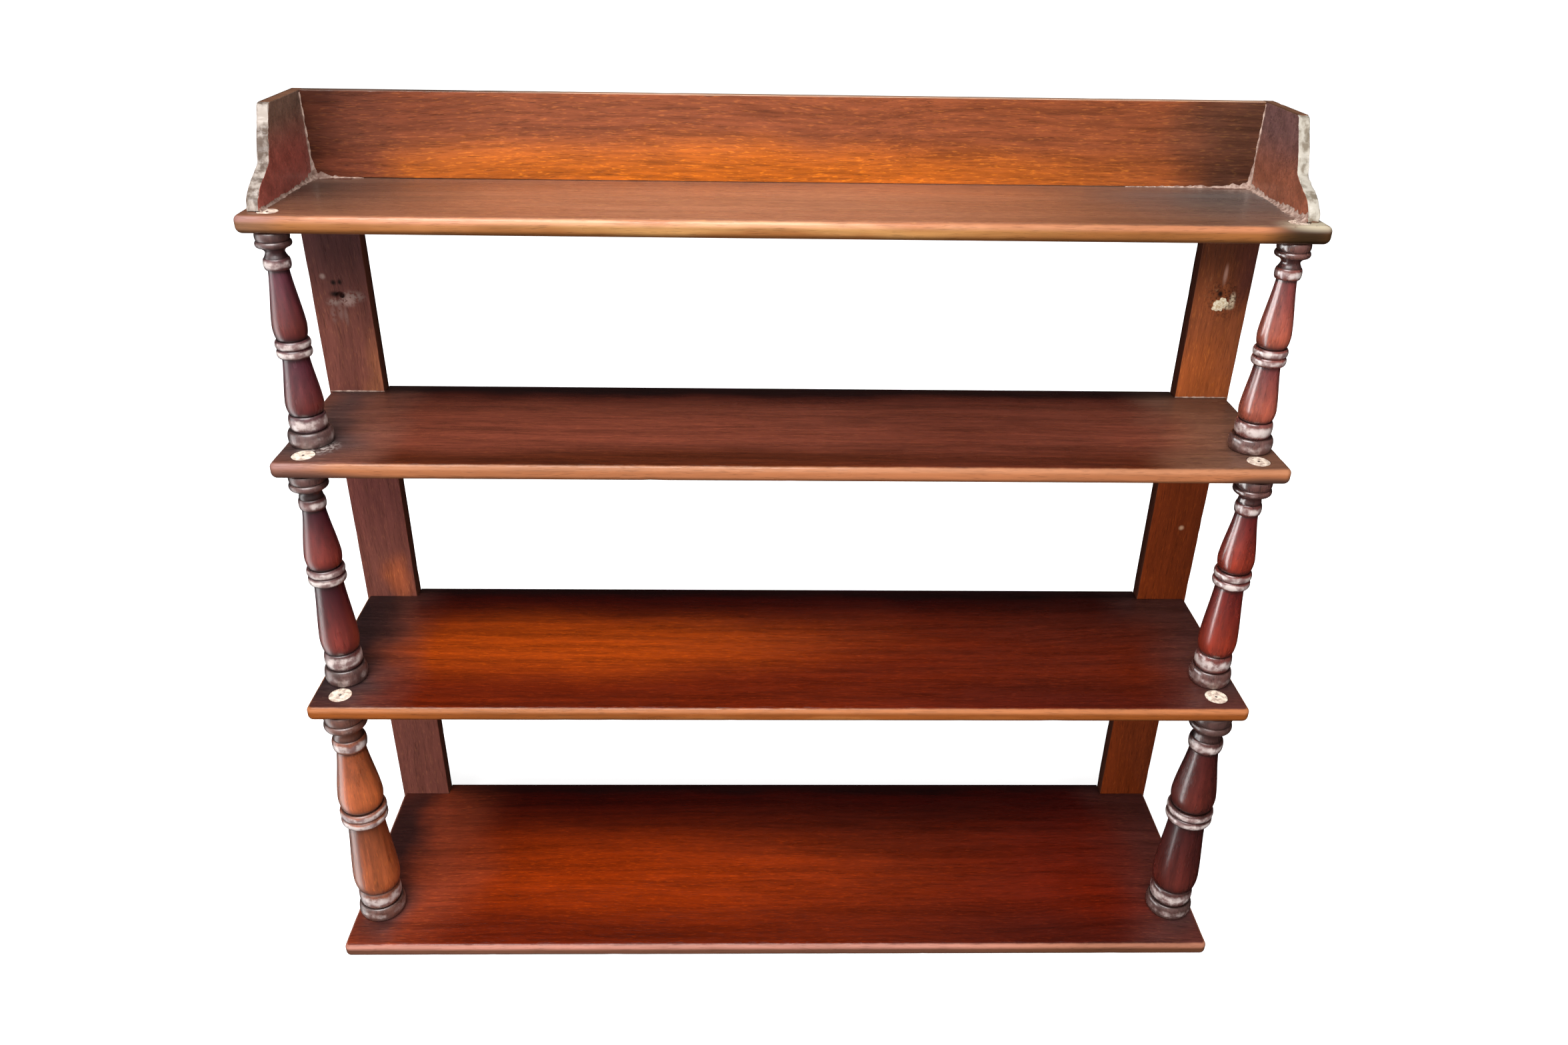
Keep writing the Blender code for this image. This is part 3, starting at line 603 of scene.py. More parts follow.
def spindle_members(turning, length):
    """The members of a spindle from its cap to its foot, each with its share of crest lightening, from wear
    and as a painted highlight, and of grime.
    """
    def root(member):
        return turning[member][0] * RING_ROOT_RATIO

    def ring(member, share=1.0, ratio=1.0):
        radius, height = turning[member]
        return bead(root(member), radius * ratio, height * share)

    heights = [turning[member][1] for member in ("cap", "neck", "bead", "collar", "ring", "foot")]
    lower_height = length - sum(heights) - turning["upper_vase"][2]
    return [
        (ring("cap", CAP_UPPER_RING_SHARE, CAP_UPPER_RING_RATIO), 0.20, 0.8),
        (ring("cap", 1 - CAP_UPPER_RING_SHARE), 0.42, 0.8),
        (cove(root("cap"), turning["neck"][0], root("bead"), turning["neck"][1]), 0.0, 0.5),
        (ring("bead"), 0.9, 0.4),
        (vase(*turning["upper_vase"]), 0.0, 0.0),
        (ring("collar", 0.5), 1.0, 0.3),
        (ring("collar", 0.5), 1.0, 0.3),
        (vase(*turning["lower_vase"], lower_height), 0.0, 0.0),
        (ring("ring"), 0.95, 0.4),
        (ring("foot"), 0.62, 0.85),
    ]


def profile_part(radius, height, rub_and_sheen=0.0, groove=0.0, end=0.0, glow=0.0, grime=0.0):
    """A part of a spindle's outline: one row each for its radius, its height and its five marks."""
    return np.stack(np.broadcast_arrays(radius, height, rub_and_sheen, groove, end, glow, grime))


def spindle_profile(turning, top, bottom):
    """Outline of a spindle from the end of its through tenon to its foot tenon: radius, height and marks."""
    shelf_low, shelf_high = box("top_shelf")
    shoulder = top - (shelf_high[2] - shelf_low[2]) - SEAT_GAP + TENON_END_DROP
    foot = bottom + FOOT_TENON_LENGTH
    tenon = turning["tenon"]
    disc = np.array(DISC_RINGS)
    parts = [
        profile_part(disc * tenon, top, end=1 - 0.5 * disc),
        profile_part(tenon, (top - TENON_END_DROP, shoulder), groove=(0, 1)),
    ]
    level = shoulder
    for member, crest_share, dirt in spindle_members(turning, shoulder - foot):
        radius, drop, crest, groove, glow = member
        parts.append(profile_part(radius, level - drop, crest * crest_share, groove, 0.0, glow, dirt))
        level -= drop[-1]
    parts.append(profile_part((FOOT_TENON_RADIUS, FOOT_TENON_RADIUS, 0), (foot, bottom, bottom)))
    return np.concatenate(parts, axis=1)


def make_spindle(bay, side_name, finish):
    """A turned spindle: outline point (r, h) at turn t lies at axis + (r cos t, r sin t, h)."""
    node = f"{bay}_{side_name}_spindle"
    low, high = box(node)
    axis = spindle_axis(bay, side_name)
    radius, height, *marks = spindle_profile(TURNINGS[bay], high[2], low[2])
    turn = circle(LATHE_STEPS)
    x = axis[0] + np.outer(radius, np.cos(turn))
    y = axis[1] + np.outer(radius, np.sin(turn))
    z = np.broadcast_to(height[:, None], x.shape)
    points = np.stack([x, y, z], axis=-1).reshape(-1, 3)
    faces = closed_rows(len(radius), LATHE_STEPS).tolist()
    names = ("rub_and_sheen", "groove", "end", "glow", "grime")
    spread = {name: np.repeat(values, LATHE_STEPS) for name, values in zip(names, marks)}
    new_piece(f"{node}_turning", points, faces, spread, finish, [node])


def make_filler(finish):
    """Ragged filler over the right wall hole: a low dome of wavering outline on a stem in the hole.

    Outline radius at turn t = reach (1 + the sum of size sin(count t + phase)). At the share s of that
    radius, the height falls as 1 - s^2, times the lumps 1 + size sin(3t + 9s).
    """
    low, high = box("wall_hole_plug")
    centre = centre_of("wall_hole_plug")
    face = box("right_upright")[0][1]
    turn = circle(HOLE_STEPS)
    waver = 1 + sum(size * np.sin(count * turn + phase) for size, count, phase in FILLER_WAVES)
    share = np.linspace(0, 1, DOME_ROWS)
    lumps = 1 + FILLER_LUMPS * np.sin(3 * turn[None] + 9 * share[:, None])
    dome_rise = (face - low[1]) * (1 - share[:, None] ** 2) * lumps + FILLER_LIFT
    sink = WALL_HOLE_SINK_RADIUS - FIT_GAP
    bore = WALL_HOLE_RADIUS - FIT_GAP
    bottom = face - high[1]
    stem = np.array(((sink, 0.0), (bore, -WALL_HOLE_SINK_DEPTH), (bore, bottom), (0.0, bottom)))
    even = np.ones_like(turn)
    radius = np.concatenate([np.outer(share, FILLER_REACH * waver), np.outer(stem[:, 0], even)])
    rise = np.concatenate([dome_rise, np.outer(stem[:, 1], even)])
    x = centre[0] + radius * np.cos(turn)
    z = centre[2] + radius * np.sin(turn)
    points = np.stack([x, face - rise, z], axis=-1).reshape(-1, 3)
    faces = closed_rows(len(radius), HOLE_STEPS).tolist()
    new_piece("wall_hole_filler", points, faces, {}, finish, ["wall_hole_plug"])


def make_wax_line(name, start, end, legs, sizes, seed, finish):
    """A ragged fillet of old wax in an inside corner, along a straight line.

    Section at angle a from 0 to pi / 2: corner + s ((1 - sin a) e + (1 - cos a) f), closed at the corner,
    where e and f are the legs' directions. The size s follows the given sizes, times a seeded waver.
    """
    start, end = np.array(start), np.array(end)
    rows = round(float(np.linalg.norm(end - start)) / WAX_SPACING)
    share = np.linspace(0, 1, rows)
    draw = np.random.default_rng(seed)
    knots = rows // 2
    waver = np.interp(share, np.linspace(0, 1, knots), draw.uniform(*WAX_WAVER, knots))
    size = np.interp(share, np.linspace(0, 1, len(sizes)), sizes) * waver
    angle = np.linspace(0, np.pi / 2, WAX_STEPS)
    reach = np.concatenate([[0], 1 - np.sin(angle)])
    climb = np.concatenate([[0], 1 - np.cos(angle)])
    section = np.outer(reach, legs[0]) + np.outer(climb, legs[1])
    path = start + (end - start) * share[:, None]
    points = (path[:, None] + size[:, None, None] * section[None]).reshape(-1, 3)
    ring = np.arange(len(section))
    faces = closed_rows(rows, len(section)).tolist()
    faces += [ring.tolist(), (ring + len(points) - len(section)).tolist()]
    new_piece(name, points, faces, {}, finish)


def make_wax(finish):
    """Pale wax in the gallery's inside corners and at the feet of the uprights on the second shelf."""
    top_level = box("top_shelf")[1][2]
    second_level = box("second_shelf")[1][2]
    back_low, back_high = box("gallery_back")
    face = back_low[1]
    forward, upward = (0, -1, 0), (0, 0, 1)
    for side_name, side in SIDES:
        side_low, side_high = box(f"gallery_{side_name}_side")
        inner = side_high[0] if side < 0 else side_low[0]
        inward = (-side, 0, 0)
        corner = (inner, face, top_level)
        lines = (
            ("side", (inner, side_low[1] + WAX_TOE_INSET, top_level), (inward, upward)),
            ("corner", (inner, face, back_high[2] - WAX_TOP_INSET), (inward, forward)),
            ("foot", (side * WAX_FOOT_ENDS[side_name], face, top_level), (forward, upward)),
        )
        for count, (place, end, legs) in enumerate(lines):
            sizes = WAX_SIZES[side_name][place]
            seed = WAX_SEED + 3 * side + count
            make_wax_line(f"wax_{side_name}_{place}", corner, end, legs, sizes, seed, finish)
        upright_low, upright_high = box(f"{side_name}_upright")
        start, end = [(x, upright_low[1], second_level) for x in (upright_low[0], upright_high[0])]
        seed = UPRIGHT_WAX_SEED + side
        legs = (forward, upward)
        make_wax_line(f"wax_{side_name}_upright", start, end, legs, UPRIGHT_WAX_SIZES, seed, finish)


# Patterns in the finishes: repeats in a metre along three axes, the grain first, the detail of the noise
# and, where it isn't the usual one, its roughness
PATTERNS = {
    "broad": ((2.5, 60.0, 60.0), 4.0, 0.62),
    "fine": ((20.0, 300.0, 300.0), 3.0, 0.60),
    "fleck": ((120.0, 760.0, 760.0), 2.0),
    "pore": ((60.0, 1300.0, 1300.0), 1.0),
    "cloud": ((5.0, 14.0, 14.0), 2.0),
    "smear": ((9.0, 40.0, 40.0), 4.0),
    "wave": ((6.0, 22.0, 22.0), 1.0),
    "stain": ((120.0, 120.0, 70.0), 4.0),
}

# Where each pattern starts to show and where it shows fully, and for the smears the roughness at each
LIMITS = {
    "broad": (0.30, 0.70),
    "fine": (0.30, 0.70),
    "fleck": (0.54, 0.72),
    "pore": (0.58, 0.72),
    "cloud": (0.30, 0.70),
    "smear": (0.25, 0.75, 0.20, 0.36),
    "stain": (0.38, 0.62),
}
STREAK_MEAN = 0.55
FINE_MEAN = 0.5
FLECK_WARMTH = (1.0, 1.3, 0.6)
RELIEF_STREAKS = 0.4
HALF = (0.5, 0.5, 0.5)

# Wandering places: scale and detail of the noise, and how far it shifts each axis
GRAIN_BEND = (3.0, 1.0, (0.0, 0.03, 0.03))
LAYER_BLUR = (9.0, 3.0, (0.10, 0.035, 0.035))

# Strengths of the streaks, the fine streaks, the flecks and the pores
EDGE_GRAIN = (0.30, 0.15, 0.0, 0.25)
TURNED_GRAIN = (0.60, 0.35, 0.35, 0.40)
BOARD_PORES = 0.35

# Wear and shine
EDGE_WEAR = {"Scale": 60.0, "Spread": 0.3}
FRONT_WEAR = {"Scale": 150.0, "Spread": 0.8}
CREST_WEAR_AND_SHEEN = {"Scale": 90.0, "Spread": 0.9}
WEAR_NOISE = (5.0, 0.6)
WEAR_LIMITS = (0.35, 0.75)
RAG_NOISE = (4.0, 0.6)
RAG_EASING = 0.2
POOL_CORE = 0.15
BOARD_SHINE = 0.25
BOARD_RELIEF = (0.0004, 0.35)
TURNED_RELIEF = (0.0003, 0.25)
# Painted light and shade on rounded edges: where the lit upper part begins and is full, where the painted
# shade of the belly begins and is full, and how dark it gets
CROWN_RISE = (0.05, 0.60)
BELLY_RISE = (-0.90, -0.25)
BELLY_SHADE = 0.5
# How far the bellies follow the glow mark, painted light with rubbed finish, rather than the cloudiness of
# the wood
GLOW_SHARE = 0.75
GROOVE_STRENGTH = 0.85
RUB_AND_SHEEN_STRENGTH = 0.80
CREST_FINENESS = 120.0
CREST_LIMITS = (0.36, 0.60)
DISC_FINENESS = 240.0
DISC_LIMITS = (0.36, 0.62)
DISC_END = (0.3, 0.5)
DOT_END = (0.93, 0.95)
MOTTLE_DETAIL = 4.0


def add(tree, kind, inputs=None, **settings):
    """A shader node with its settings, and with each input set to a value or linked to an output."""
    made = tree.nodes.new(kind)
    for name, value in settings.items():
        setattr(made, name, value)
    for socket, value in (inputs or {}).items():
        if isinstance(value, bpy.types.NodeSocket):
            tree.links.new(value, made.inputs[socket])
        else:
            made.inputs[socket].default_value = value
    return made


def calculate(tree, operation, first, second=0.0, third=0.0):
    """A Math node's result."""
    return add(tree, "ShaderNodeMath", {0: first, 1: second, 2: third}, operation=operation).outputs[0]


def move(tree, operation, first, second):
    """A Vector Math node's result."""
    return add(tree, "ShaderNodeVectorMath", {0: first, 1: second}, operation=operation).outputs[0]


def length_of(tree, vector):
    """The length of a vector."""
    return add(tree, "ShaderNodeVectorMath", {0: vector}, operation="LENGTH").outputs["Value"]


def blend(tree, factor, first, second, mode="MIX"):
    """Two colours mixed by a factor."""
    inputs = {0: factor, 6: first, 7: second}
    return add(tree, "ShaderNodeMix", inputs, data_type="RGBA", blend_type=mode).outputs[2]


def span(tree, value, start, full, low=0.0, high=1.0):
    """A value eased from low at start to high at full."""
    inputs = {"Value": value, "From Min": start, "From Max": full, "To Min": low, "To Max": high}
    return add(tree, "ShaderNodeMapRange", inputs, interpolation_type="SMOOTHSTEP").outputs[0]


def noise(tree, vector, scale, detail=3.0, roughness=0.55):
    """A noise value."""
    inputs = {"Vector": vector, "Scale": scale, "Detail": detail, "Roughness": roughness}
    return add(tree, "ShaderNodeTexNoise", inputs).outputs[0]


def pattern(tree, vector, name):
    """The noise of a named pattern."""
    repeats, *look = PATTERNS[name]
    return noise(tree, move(tree, "MULTIPLY", vector, repeats), 1.0, *look)


def eased(tree, vector, name):
    """A named pattern eased between its limits."""
    return span(tree, pattern(tree, vector, name), *LIMITS[name])


def wander(tree, vector, scale, detail, reach):
    """A place shifted by a slow noise: vector + reach (noise - 1/2)."""
    shift = add(tree, "ShaderNodeTexNoise", {"Vector": vector, "Scale": scale, "Detail": detail}).outputs[1]
    return move(tree, "ADD", vector, move(tree, "MULTIPLY", move(tree, "SUBTRACT", shift, HALF), reach))


def mark(tree, name):
    """A number that the piece carries on its points."""
    return add(tree, "ShaderNodeAttribute", attribute_name=name).outputs["Fac"]


def colour(tone):
    """A colour with full opacity."""
    return (*tone, 1.0)


def new_group(name, *numbers):
    """A node group with a vector and some numbers as its inputs: its tree, and what it is given."""
    tree = bpy.data.node_groups.new(name, "ShaderNodeTree")
    tree.interface.new_socket("Vector", in_out="INPUT", socket_type="NodeSocketVector")
    for label in numbers:
        tree.interface.new_socket(label, in_out="INPUT", socket_type="NodeSocketFloat")
    return tree, tree.nodes.new("NodeGroupInput").outputs


def put_out(tree, results):
    """A node group finished with its results, each a number."""
    for label in results:
        tree.interface.new_socket(label, in_out="OUTPUT", socket_type="NodeSocketFloat")
    outlet = tree.nodes.new("NodeGroupOutput")
    for label, value in results.items():
        tree.links.new(value, outlet.inputs[label])
    return tree


def grain_group():
    """Mahogany grain along the first axis: broad and fine streaks, pale flecks, dark pores, cloudiness."""
    tree, given = new_group("mahogany_grain")
    bent = wander(tree, given["Vector"], *GRAIN_BEND)
    broad = pattern(tree, bent, "broad")
    pore = eased(tree, bent, "pore")
    results = {
        "Streak": span(tree, broad, *LIMITS["broad"]),
        "Fine": eased(tree, bent, "fine"),
        "Fleck": eased(tree, bent, "fleck"),
        "Pore": pore,
        "Cloud": eased(tree, given["Vector"], "cloud"),
        "Height": calculate(tree, "SUBTRACT", calculate(tree, "MULTIPLY", broad, RELIEF_STREAKS), pore),
    }
    return put_out(tree, results)


def wear_group():
    """Patchy wear: where a mask plus a noise passes about one half, the wear shows."""
    tree, given = new_group("patchy_wear", "Mask", "Scale", "Spread")
    patches = calculate(tree, "SUBTRACT", noise(tree, given["Vector"], given["Scale"], *WEAR_NOISE), 0.5)
    raised = calculate(tree, "ADD", given["Mask"], calculate(tree, "MULTIPLY", patches, given["Spread"]))
    return put_out(tree, {"Mask": span(tree, raised, *WEAR_LIMITS)})


def polish_group():
    """Hand polish: a roughness that varies in smears along the grain, and a slow waviness."""
    tree, given = new_group("hand_polish")
    roughness = eased(tree, given["Vector"], "smear")
    return put_out(tree, {"Roughness": roughness, "Height": pattern(tree, given["Vector"], "wave")})


GRAIN = grain_group()
WEAR = wear_group()
POLISH = polish_group()


def use(tree, group, inputs):
    """A node group placed in a material: its outputs."""
    return add(tree, "ShaderNodeGroup", inputs, node_tree=group).outputs


def worn(tree, place, mask, patches):
    """The patchy wear that shows where a mask is high."""
    return use(tree, WEAR, {"Vector": place, "Mask": mask, **patches})["Mask"]


def new_finish(name):
    """An empty material: its tree, its Principled shader, and Object coordinates."""
    material = bpy.data.materials.new(name)
    material.use_nodes = True
    tree = material.node_tree
    shader = tree.nodes["Principled BSDF"]
    place = add(tree, "ShaderNodeTexCoord").outputs["Object"]
    return material, tree, shader, place


def set_sockets(shader, values):
    """Set sockets of a shader to values that are the same all over the surface."""
    for socket, value in values.items():
        shader.inputs[socket].default_value = value


def pool(tree, place, centre, reach):
    """A soft patch: 1 at its centre, easing to 0 at its reach. An axis with no reach doesn't count."""
    shrink = [0.0 if size is None else 1.0 / size for size in reach]
    offset = move(tree, "MULTIPLY", move(tree, "SUBTRACT", place, centre), shrink)
    return span(tree, length_of(tree, offset), 1.0, POOL_CORE)


def band(tree, place, axis, start, full):
    """A soft band along one axis: 0 at start, 1 at full."""
    along = add(tree, "ShaderNodeSeparateXYZ", {0: place}).outputs[axis]
    return span(tree, along, start, full)


def turned_place(tree, place):
    """Coordinates with the grain, which runs up the piece, on the first axis."""
    return add(tree, "ShaderNodeMapping", {"Vector": place, "Rotation": (0, math.pi / 2, 0)}).outputs[0]


def patina_and_painted_light(tree, place, tone, layers):
    """A tone with soft layers of other tones over it, their borders blurred by a slow noise: aged colour,
    and also painted shade and light.

    Each layer is a pool or a band, its shape, its tone and its strength.
    """
    blurred = wander(tree, place, *LAYER_BLUR)
    for kind, shape, layer_tone, strength in layers:
        make = pool if kind == "pool" else band
        mask = calculate(tree, "MULTIPLY", make(tree, blurred, *shape), strength)
        tone = blend(tree, mask, tone, colour(layer_tone))
    return tone


def with_ragged_patches(tree, place, tone, ragged_patches):
    """A tone with soft ragged smears over it: mask = pool x rags, a noise past a threshold.

    Each smear is given by its centre, reach, tone, the fineness of its rags and its sparseness.
    """
    for centre, reach, smear_tone, fineness, sparseness in ragged_patches:
        ragged = noise(tree, place, fineness, *RAG_NOISE)
        rags = span(tree, ragged, sparseness, sparseness + RAG_EASING)
        mask = calculate(tree, "MULTIPLY", pool(tree, place, centre, reach), rags)
        tone = blend(tree, mask, tone, colour(smear_tone))
    return tone


def grained(tree, tone, grain, streaks, fines, flecks, pores):
    """A tone with the grain in it, w warming the flecks, and S and F the means of the two streaks.

    tone (1 + s (streak - S) + t (fine - F) + f w fleck) (1 - p pore)
    """
    start = 1.0 - STREAK_MEAN * streaks - FINE_MEAN * fines
    streak = calculate(tree, "MULTIPLY_ADD", grain["Streak"], streaks, start)
    streak = calculate(tree, "MULTIPLY_ADD", grain["Fine"], fines, streak)
    shade = calculate(tree, "MULTIPLY_ADD", grain["Pore"], -pores, 1.0)
    levels = {}
    for channel, warmth in enumerate(FLECK_WARMTH):
        pale = calculate(tree, "MULTIPLY_ADD", grain["Fleck"], flecks * warmth, streak)
        levels[channel] = calculate(tree, "MULTIPLY", pale, shade)
    level = add(tree, "ShaderNodeCombineColor", levels).outputs[0]
    return blend(tree, 1.0, tone, level, "MULTIPLY")


def finish_surface(tree, shader, tone, roughness, height, distance, strength):
    """Link a colour, a roughness and a relief to the shader."""
    tree.links.new(tone, shader.inputs["Base Color"])
    tree.links.new(roughness, shader.inputs["Roughness"])
    relief = add(tree, "ShaderNodeBump", {"Strength": strength, "Distance": distance, "Height": height})
    tree.links.new(relief.outputs[0], shader.inputs["Normal"])


def polished(tree, shader, along, grain, tone, relief):
    """Link a colour to the shader, with hand polish and the relief of the grain."""
    polish = use(tree, POLISH, {"Vector": along})
    height = calculate(tree, "ADD", grain["Height"], polish["Height"])
    finish_surface(tree, shader, tone, polish["Roughness"], height, *relief)


def board_finish(
    name, base, layers, edge_tones, edge_layers=(), ragged_patches=(), upright=False, front_tones=None,
    streaks=0.40, fines=0.35, flecks=0.35,
):
    """Polished mahogany board: aged tones with painted shade and light laid over them, grain, worn edges,
    ragged patches and, where marked, a worn pale front.

    The edge tones are those of its upper and of its lower half: the rounded edges are painted lit along
    their upper half and shaded along their lower half, darkest at the belly.
    """
    material, tree, shader, place = new_finish(name)
    along = turned_place(tree, place) if upright else place
    grain = use(tree, GRAIN, {"Vector": along})
    tone = patina_and_painted_light(tree, place, colour(base), layers)
    tone = grained(tree, tone, grain, streaks, fines, flecks, BOARD_PORES)
    # Painted light and shade on the rounded edges: lit along the upper half, shaded along the lower half and
    # darkest at the belly
    upper, lower = edge_tones
    fall = [low / high for low, high in zip(lower, upper)]
    rise = mark(tree, "rise")
    lit_crown = patina_and_painted_light(tree, place, colour(upper), edge_layers)
    shaded_flank = blend(tree, 1.0, lit_crown, colour(fall), "MULTIPLY")
    edge_tone = blend(tree, span(tree, rise, *CROWN_RISE), shaded_flank, lit_crown)
    belly = span(tree, rise, *BELLY_RISE, BELLY_SHADE, 1.0)
    edge_tone = blend(tree, 1.0, edge_tone, belly, "MULTIPLY")
    edge_tone = grained(tree, edge_tone, grain, *EDGE_GRAIN)
    tone = blend(tree, worn(tree, along, mark(tree, "edge"), EDGE_WEAR), tone, edge_tone)
    tone = with_ragged_patches(tree, place, tone, ragged_patches)
    if front_tones:
        pale, stained = front_tones
        mottled = blend(tree, eased(tree, place, "stain"), colour(pale), colour(stained))
        tone = blend(tree, worn(tree, place, mark(tree, "front"), FRONT_WEAR), tone, mottled)
    polished(tree, shader, along, grain, tone, BOARD_RELIEF)
    set_sockets(shader, {"Specular IOR Level": BOARD_SHINE})
    return material


def turned_finish(name, body_tone, glow_tone, dullness, coat):
    """Turned mahogany: grain up the spindle, bellies brightened by painted light and their rubbed finish,
    dark grooves, crests pale from wear and a painted highlight, and a pale tenon end, partly a painted
    glare.
    """
    material, tree, shader, place = new_finish(name)
    along = turned_place(tree, place)
    grain = use(tree, GRAIN, {"Vector": along})
    # Bellies brighter by the glow mark: painted light from above, with their rubbed finish, mixed with the
    # cloudiness of the wood
    warmth = calculate(tree, "MULTIPLY", grain["Cloud"], 1.0 - GLOW_SHARE)
    warmth = calculate(tree, "MULTIPLY_ADD", mark(tree, "glow"), GLOW_SHARE, warmth)
    tone = blend(tree, warmth, colour(body_tone), colour(glow_tone))
    tone = blend(tree, mark(tree, "grime"), tone, colour(TURNED_GRIME))
    tone = grained(tree, tone, grain, *TURNED_GRAIN)
    groove = calculate(tree, "MULTIPLY", mark(tree, "groove"), GROOVE_STRENGTH)
    tone = blend(tree, groove, tone, colour(GROOVE_DARK))
    # Crests pale from wear and as a painted highlight of the light they catch
    rub_and_sheen = calculate(tree, "MULTIPLY", mark(tree, "rub_and_sheen"), RUB_AND_SHEEN_STRENGTH)
    mottle = span(tree, noise(tree, place, CREST_FINENESS), *CREST_LIMITS)
    crest = blend(tree, mottle, colour(RUB_AND_SHEEN_DARK), colour(RUB_AND_SHEEN_CREAM))
    tone = blend(tree, worn(tree, place, rub_and_sheen, CREST_WEAR_AND_SHEEN), tone, crest)
    # The tenon end: pale end grain, the cream partly a painted glare, with a dark dot in the middle
    end = mark(tree, "end")
    dirt = span(tree, noise(tree, place, DISC_FINENESS, MOTTLE_DETAIL), *DISC_LIMITS)
    pale = blend(tree, dirt, colour(DISC_MOTTLE), colour(DISC_CREAM_AND_GLARE))
    pale = blend(tree, span(tree, end, *DOT_END), pale, colour(GROOVE_DARK))
    tone = blend(tree, span(tree, end, *DISC_END), tone, pale)
    polished(tree, shader, along, grain, tone, TURNED_RELIEF)
    set_sockets(shader, {"Coat Weight": coat, "Coat Roughness": dullness})
    return material


def mottled_finish(name, metal=0.0):
    """A dull stuff of two tones mixed by a noise, which also varies its roughness and makes its pits."""
    fineness, first, second, tone_limits, rough_limits, relief = MOTTLED[name]
    material, tree, shader, place = new_finish(name)
    mottle = noise(tree, place, fineness, MOTTLE_DETAIL)
    tone = blend(tree, span(tree, mottle, *tone_limits), colour(first), colour(second))
    finish_surface(tree, shader, tone, span(tree, mottle, *rough_limits), mottle, *relief)
    set_sockets(shader, {"Metallic": metal})
    return material


# Chalky filler, old wax with dust in it and steel with a bloom of rust: fineness and two tones, then the
# limits between these, the limits and values of the roughness, and the distance and strength of the relief
MOTTLED = {
    "cream_filler": (
        420.0, (0.60, 0.44, 0.26), (0.92, 0.82, 0.62),
        (0.35, 0.65), (0.2, 0.8, 0.75, 0.95), (0.0006, 0.6),
    ),
    "corner_wax": (
        230.0, (0.22, 0.13, 0.10), (0.46, 0.33, 0.27),
        (0.38, 0.62), (0.2, 0.8, 0.6, 0.9), (0.0004, 0.5),
    ),
    "old_screw_steel": (
        700.0, (0.26, 0.25, 0.23), (0.10, 0.05, 0.025),
        (0.45, 0.7), (0.3, 0.7, 0.35, 0.7), (0.0002, 0.3),
    ),
}
STEEL_METAL = 0.9

# Tones of the mahogany, of what lies on it, and of the shade and light painted on it
GROOVE_DARK = (0.010, 0.004, 0.003)
# Painted shade: black along the rear edge of a shelf, dark towards the rear under the shelf above, and in
# the right rear corner
REAR_SHADE_BLACK = (0.008, 0.003, 0.003)
REAR_SHADE = (0.034, 0.001, 0.0005)
CORNER_SHADE = (0.012, 0.0005, 0.0003)
# Painted shade round the feet of the spindles, deepest on the lower shelves
FOOT_SHADE_DEEP = (0.016, 0.009, 0.010)
FOOT_SHADE_GREY = (0.045, 0.036, 0.038)
TURNED_GRIME = (0.058, 0.031, 0.027)
# Painted reflection on the top shelf: a grey-brown sheen and a grey sheen
GREY_BROWN_SHEEN = (0.056, 0.035, 0.028)
GREY_SHEEN = (0.106, 0.100, 0.097)
RED_SHADOW = (0.085, 0.035, 0.030)
DEEP_RED = (0.112, 0.010, 0.0015)
DULL_BROWN = (0.158, 0.036, 0.019)
SIDE_BROWN = (0.20, 0.09, 0.05)
EDGE_BROWN = (0.085, 0.026, 0.015)
# Painted sheen in the middle of the top shelf
PALE_ORANGE_SHEEN = (0.400, 0.175, 0.100)
MAUVE = (0.26, 0.14, 0.13)
# Painted highlight along the noses of the shelves
NOSE_HIGHLIGHT = (0.64, 0.33, 0.18)
# Crests of the spindles, pale from wear and as a painted highlight
RUB_AND_SHEEN_DARK = (0.15, 0.085, 0.08)
RUB_AND_SHEEN_CREAM = (0.45, 0.375, 0.35)
# Tenon ends: pale end grain, the cream partly a painted glare
DISC_MOTTLE = (0.34, 0.25, 0.20)
DISC_CREAM_AND_GLARE = (0.72, 0.60, 0.49)
SMEAR_CREAM = (0.54, 0.46, 0.33)
PALE_SCUFF = (0.21, 0.135, 0.115)
FAINT_SCUFF = (0.18, 0.090, 0.075)

# Where the ragged patches on the front of the uprights lie, and how deep they go
UPRIGHT_FRONT = -0.016
SCUFF_DEPTH = 0.01

# Spindles: tone of the body, tone of the bellies where painted light and rubbed finish brighten them,
# dullness and weight of the polish
SPINDLE_TONES = {
    ("upper", "left"): ((0.040, 0.007, 0.017), (0.090, 0.015, 0.012), 0.42, 1.0),
    ("upper", "right"): ((0.11, 0.022, 0.022), (0.29, 0.066, 0.036), 0.22, 1.0),
    ("middle", "left"): ((0.018, 0.002, 0.006), (0.145, 0.022, 0.015), 0.42, 0.9),
    ("middle", "right"): ((0.072, 0.006, 0.006), (0.185, 0.020, 0.008), 0.22, 1.0),
    ("lower", "left"): ((0.13, 0.030, 0.011), (0.36, 0.084, 0.025), 0.42, 1.0),
    ("lower", "right"): ((0.028, 0.004, 0.004), (0.075, 0.012, 0.008), 0.38, 0.20),
}


def foot_shade(level):
    """Layers of painted shade round the feet of the spindles that stand on a shelf, heavier on the left."""
    left = (*spindle_axis(BAYS[level - 1], "left"), 0)
    right = (*spindle_axis(BAYS[level - 1], "right"), 0)
    behind = ("pool", ((left[0] + 0.005, left[1] + 0.075, 0), (0.030, 0.115, None)), FOOT_SHADE_GREY, 0.65)
    if level > 1:
        behind = ("pool", ((left[0] - 0.010, left[1] / 2, 0), (0.046, 0.21, None)), FOOT_SHADE_DEEP, 0.9)
    return (
        ("pool", (left, (0.048, 0.060, None)), FOOT_SHADE_GREY, 0.8),
        behind,
        ("pool", (right, (0.035, 0.045, None)), FOOT_SHADE_GREY, 0.5),
    )


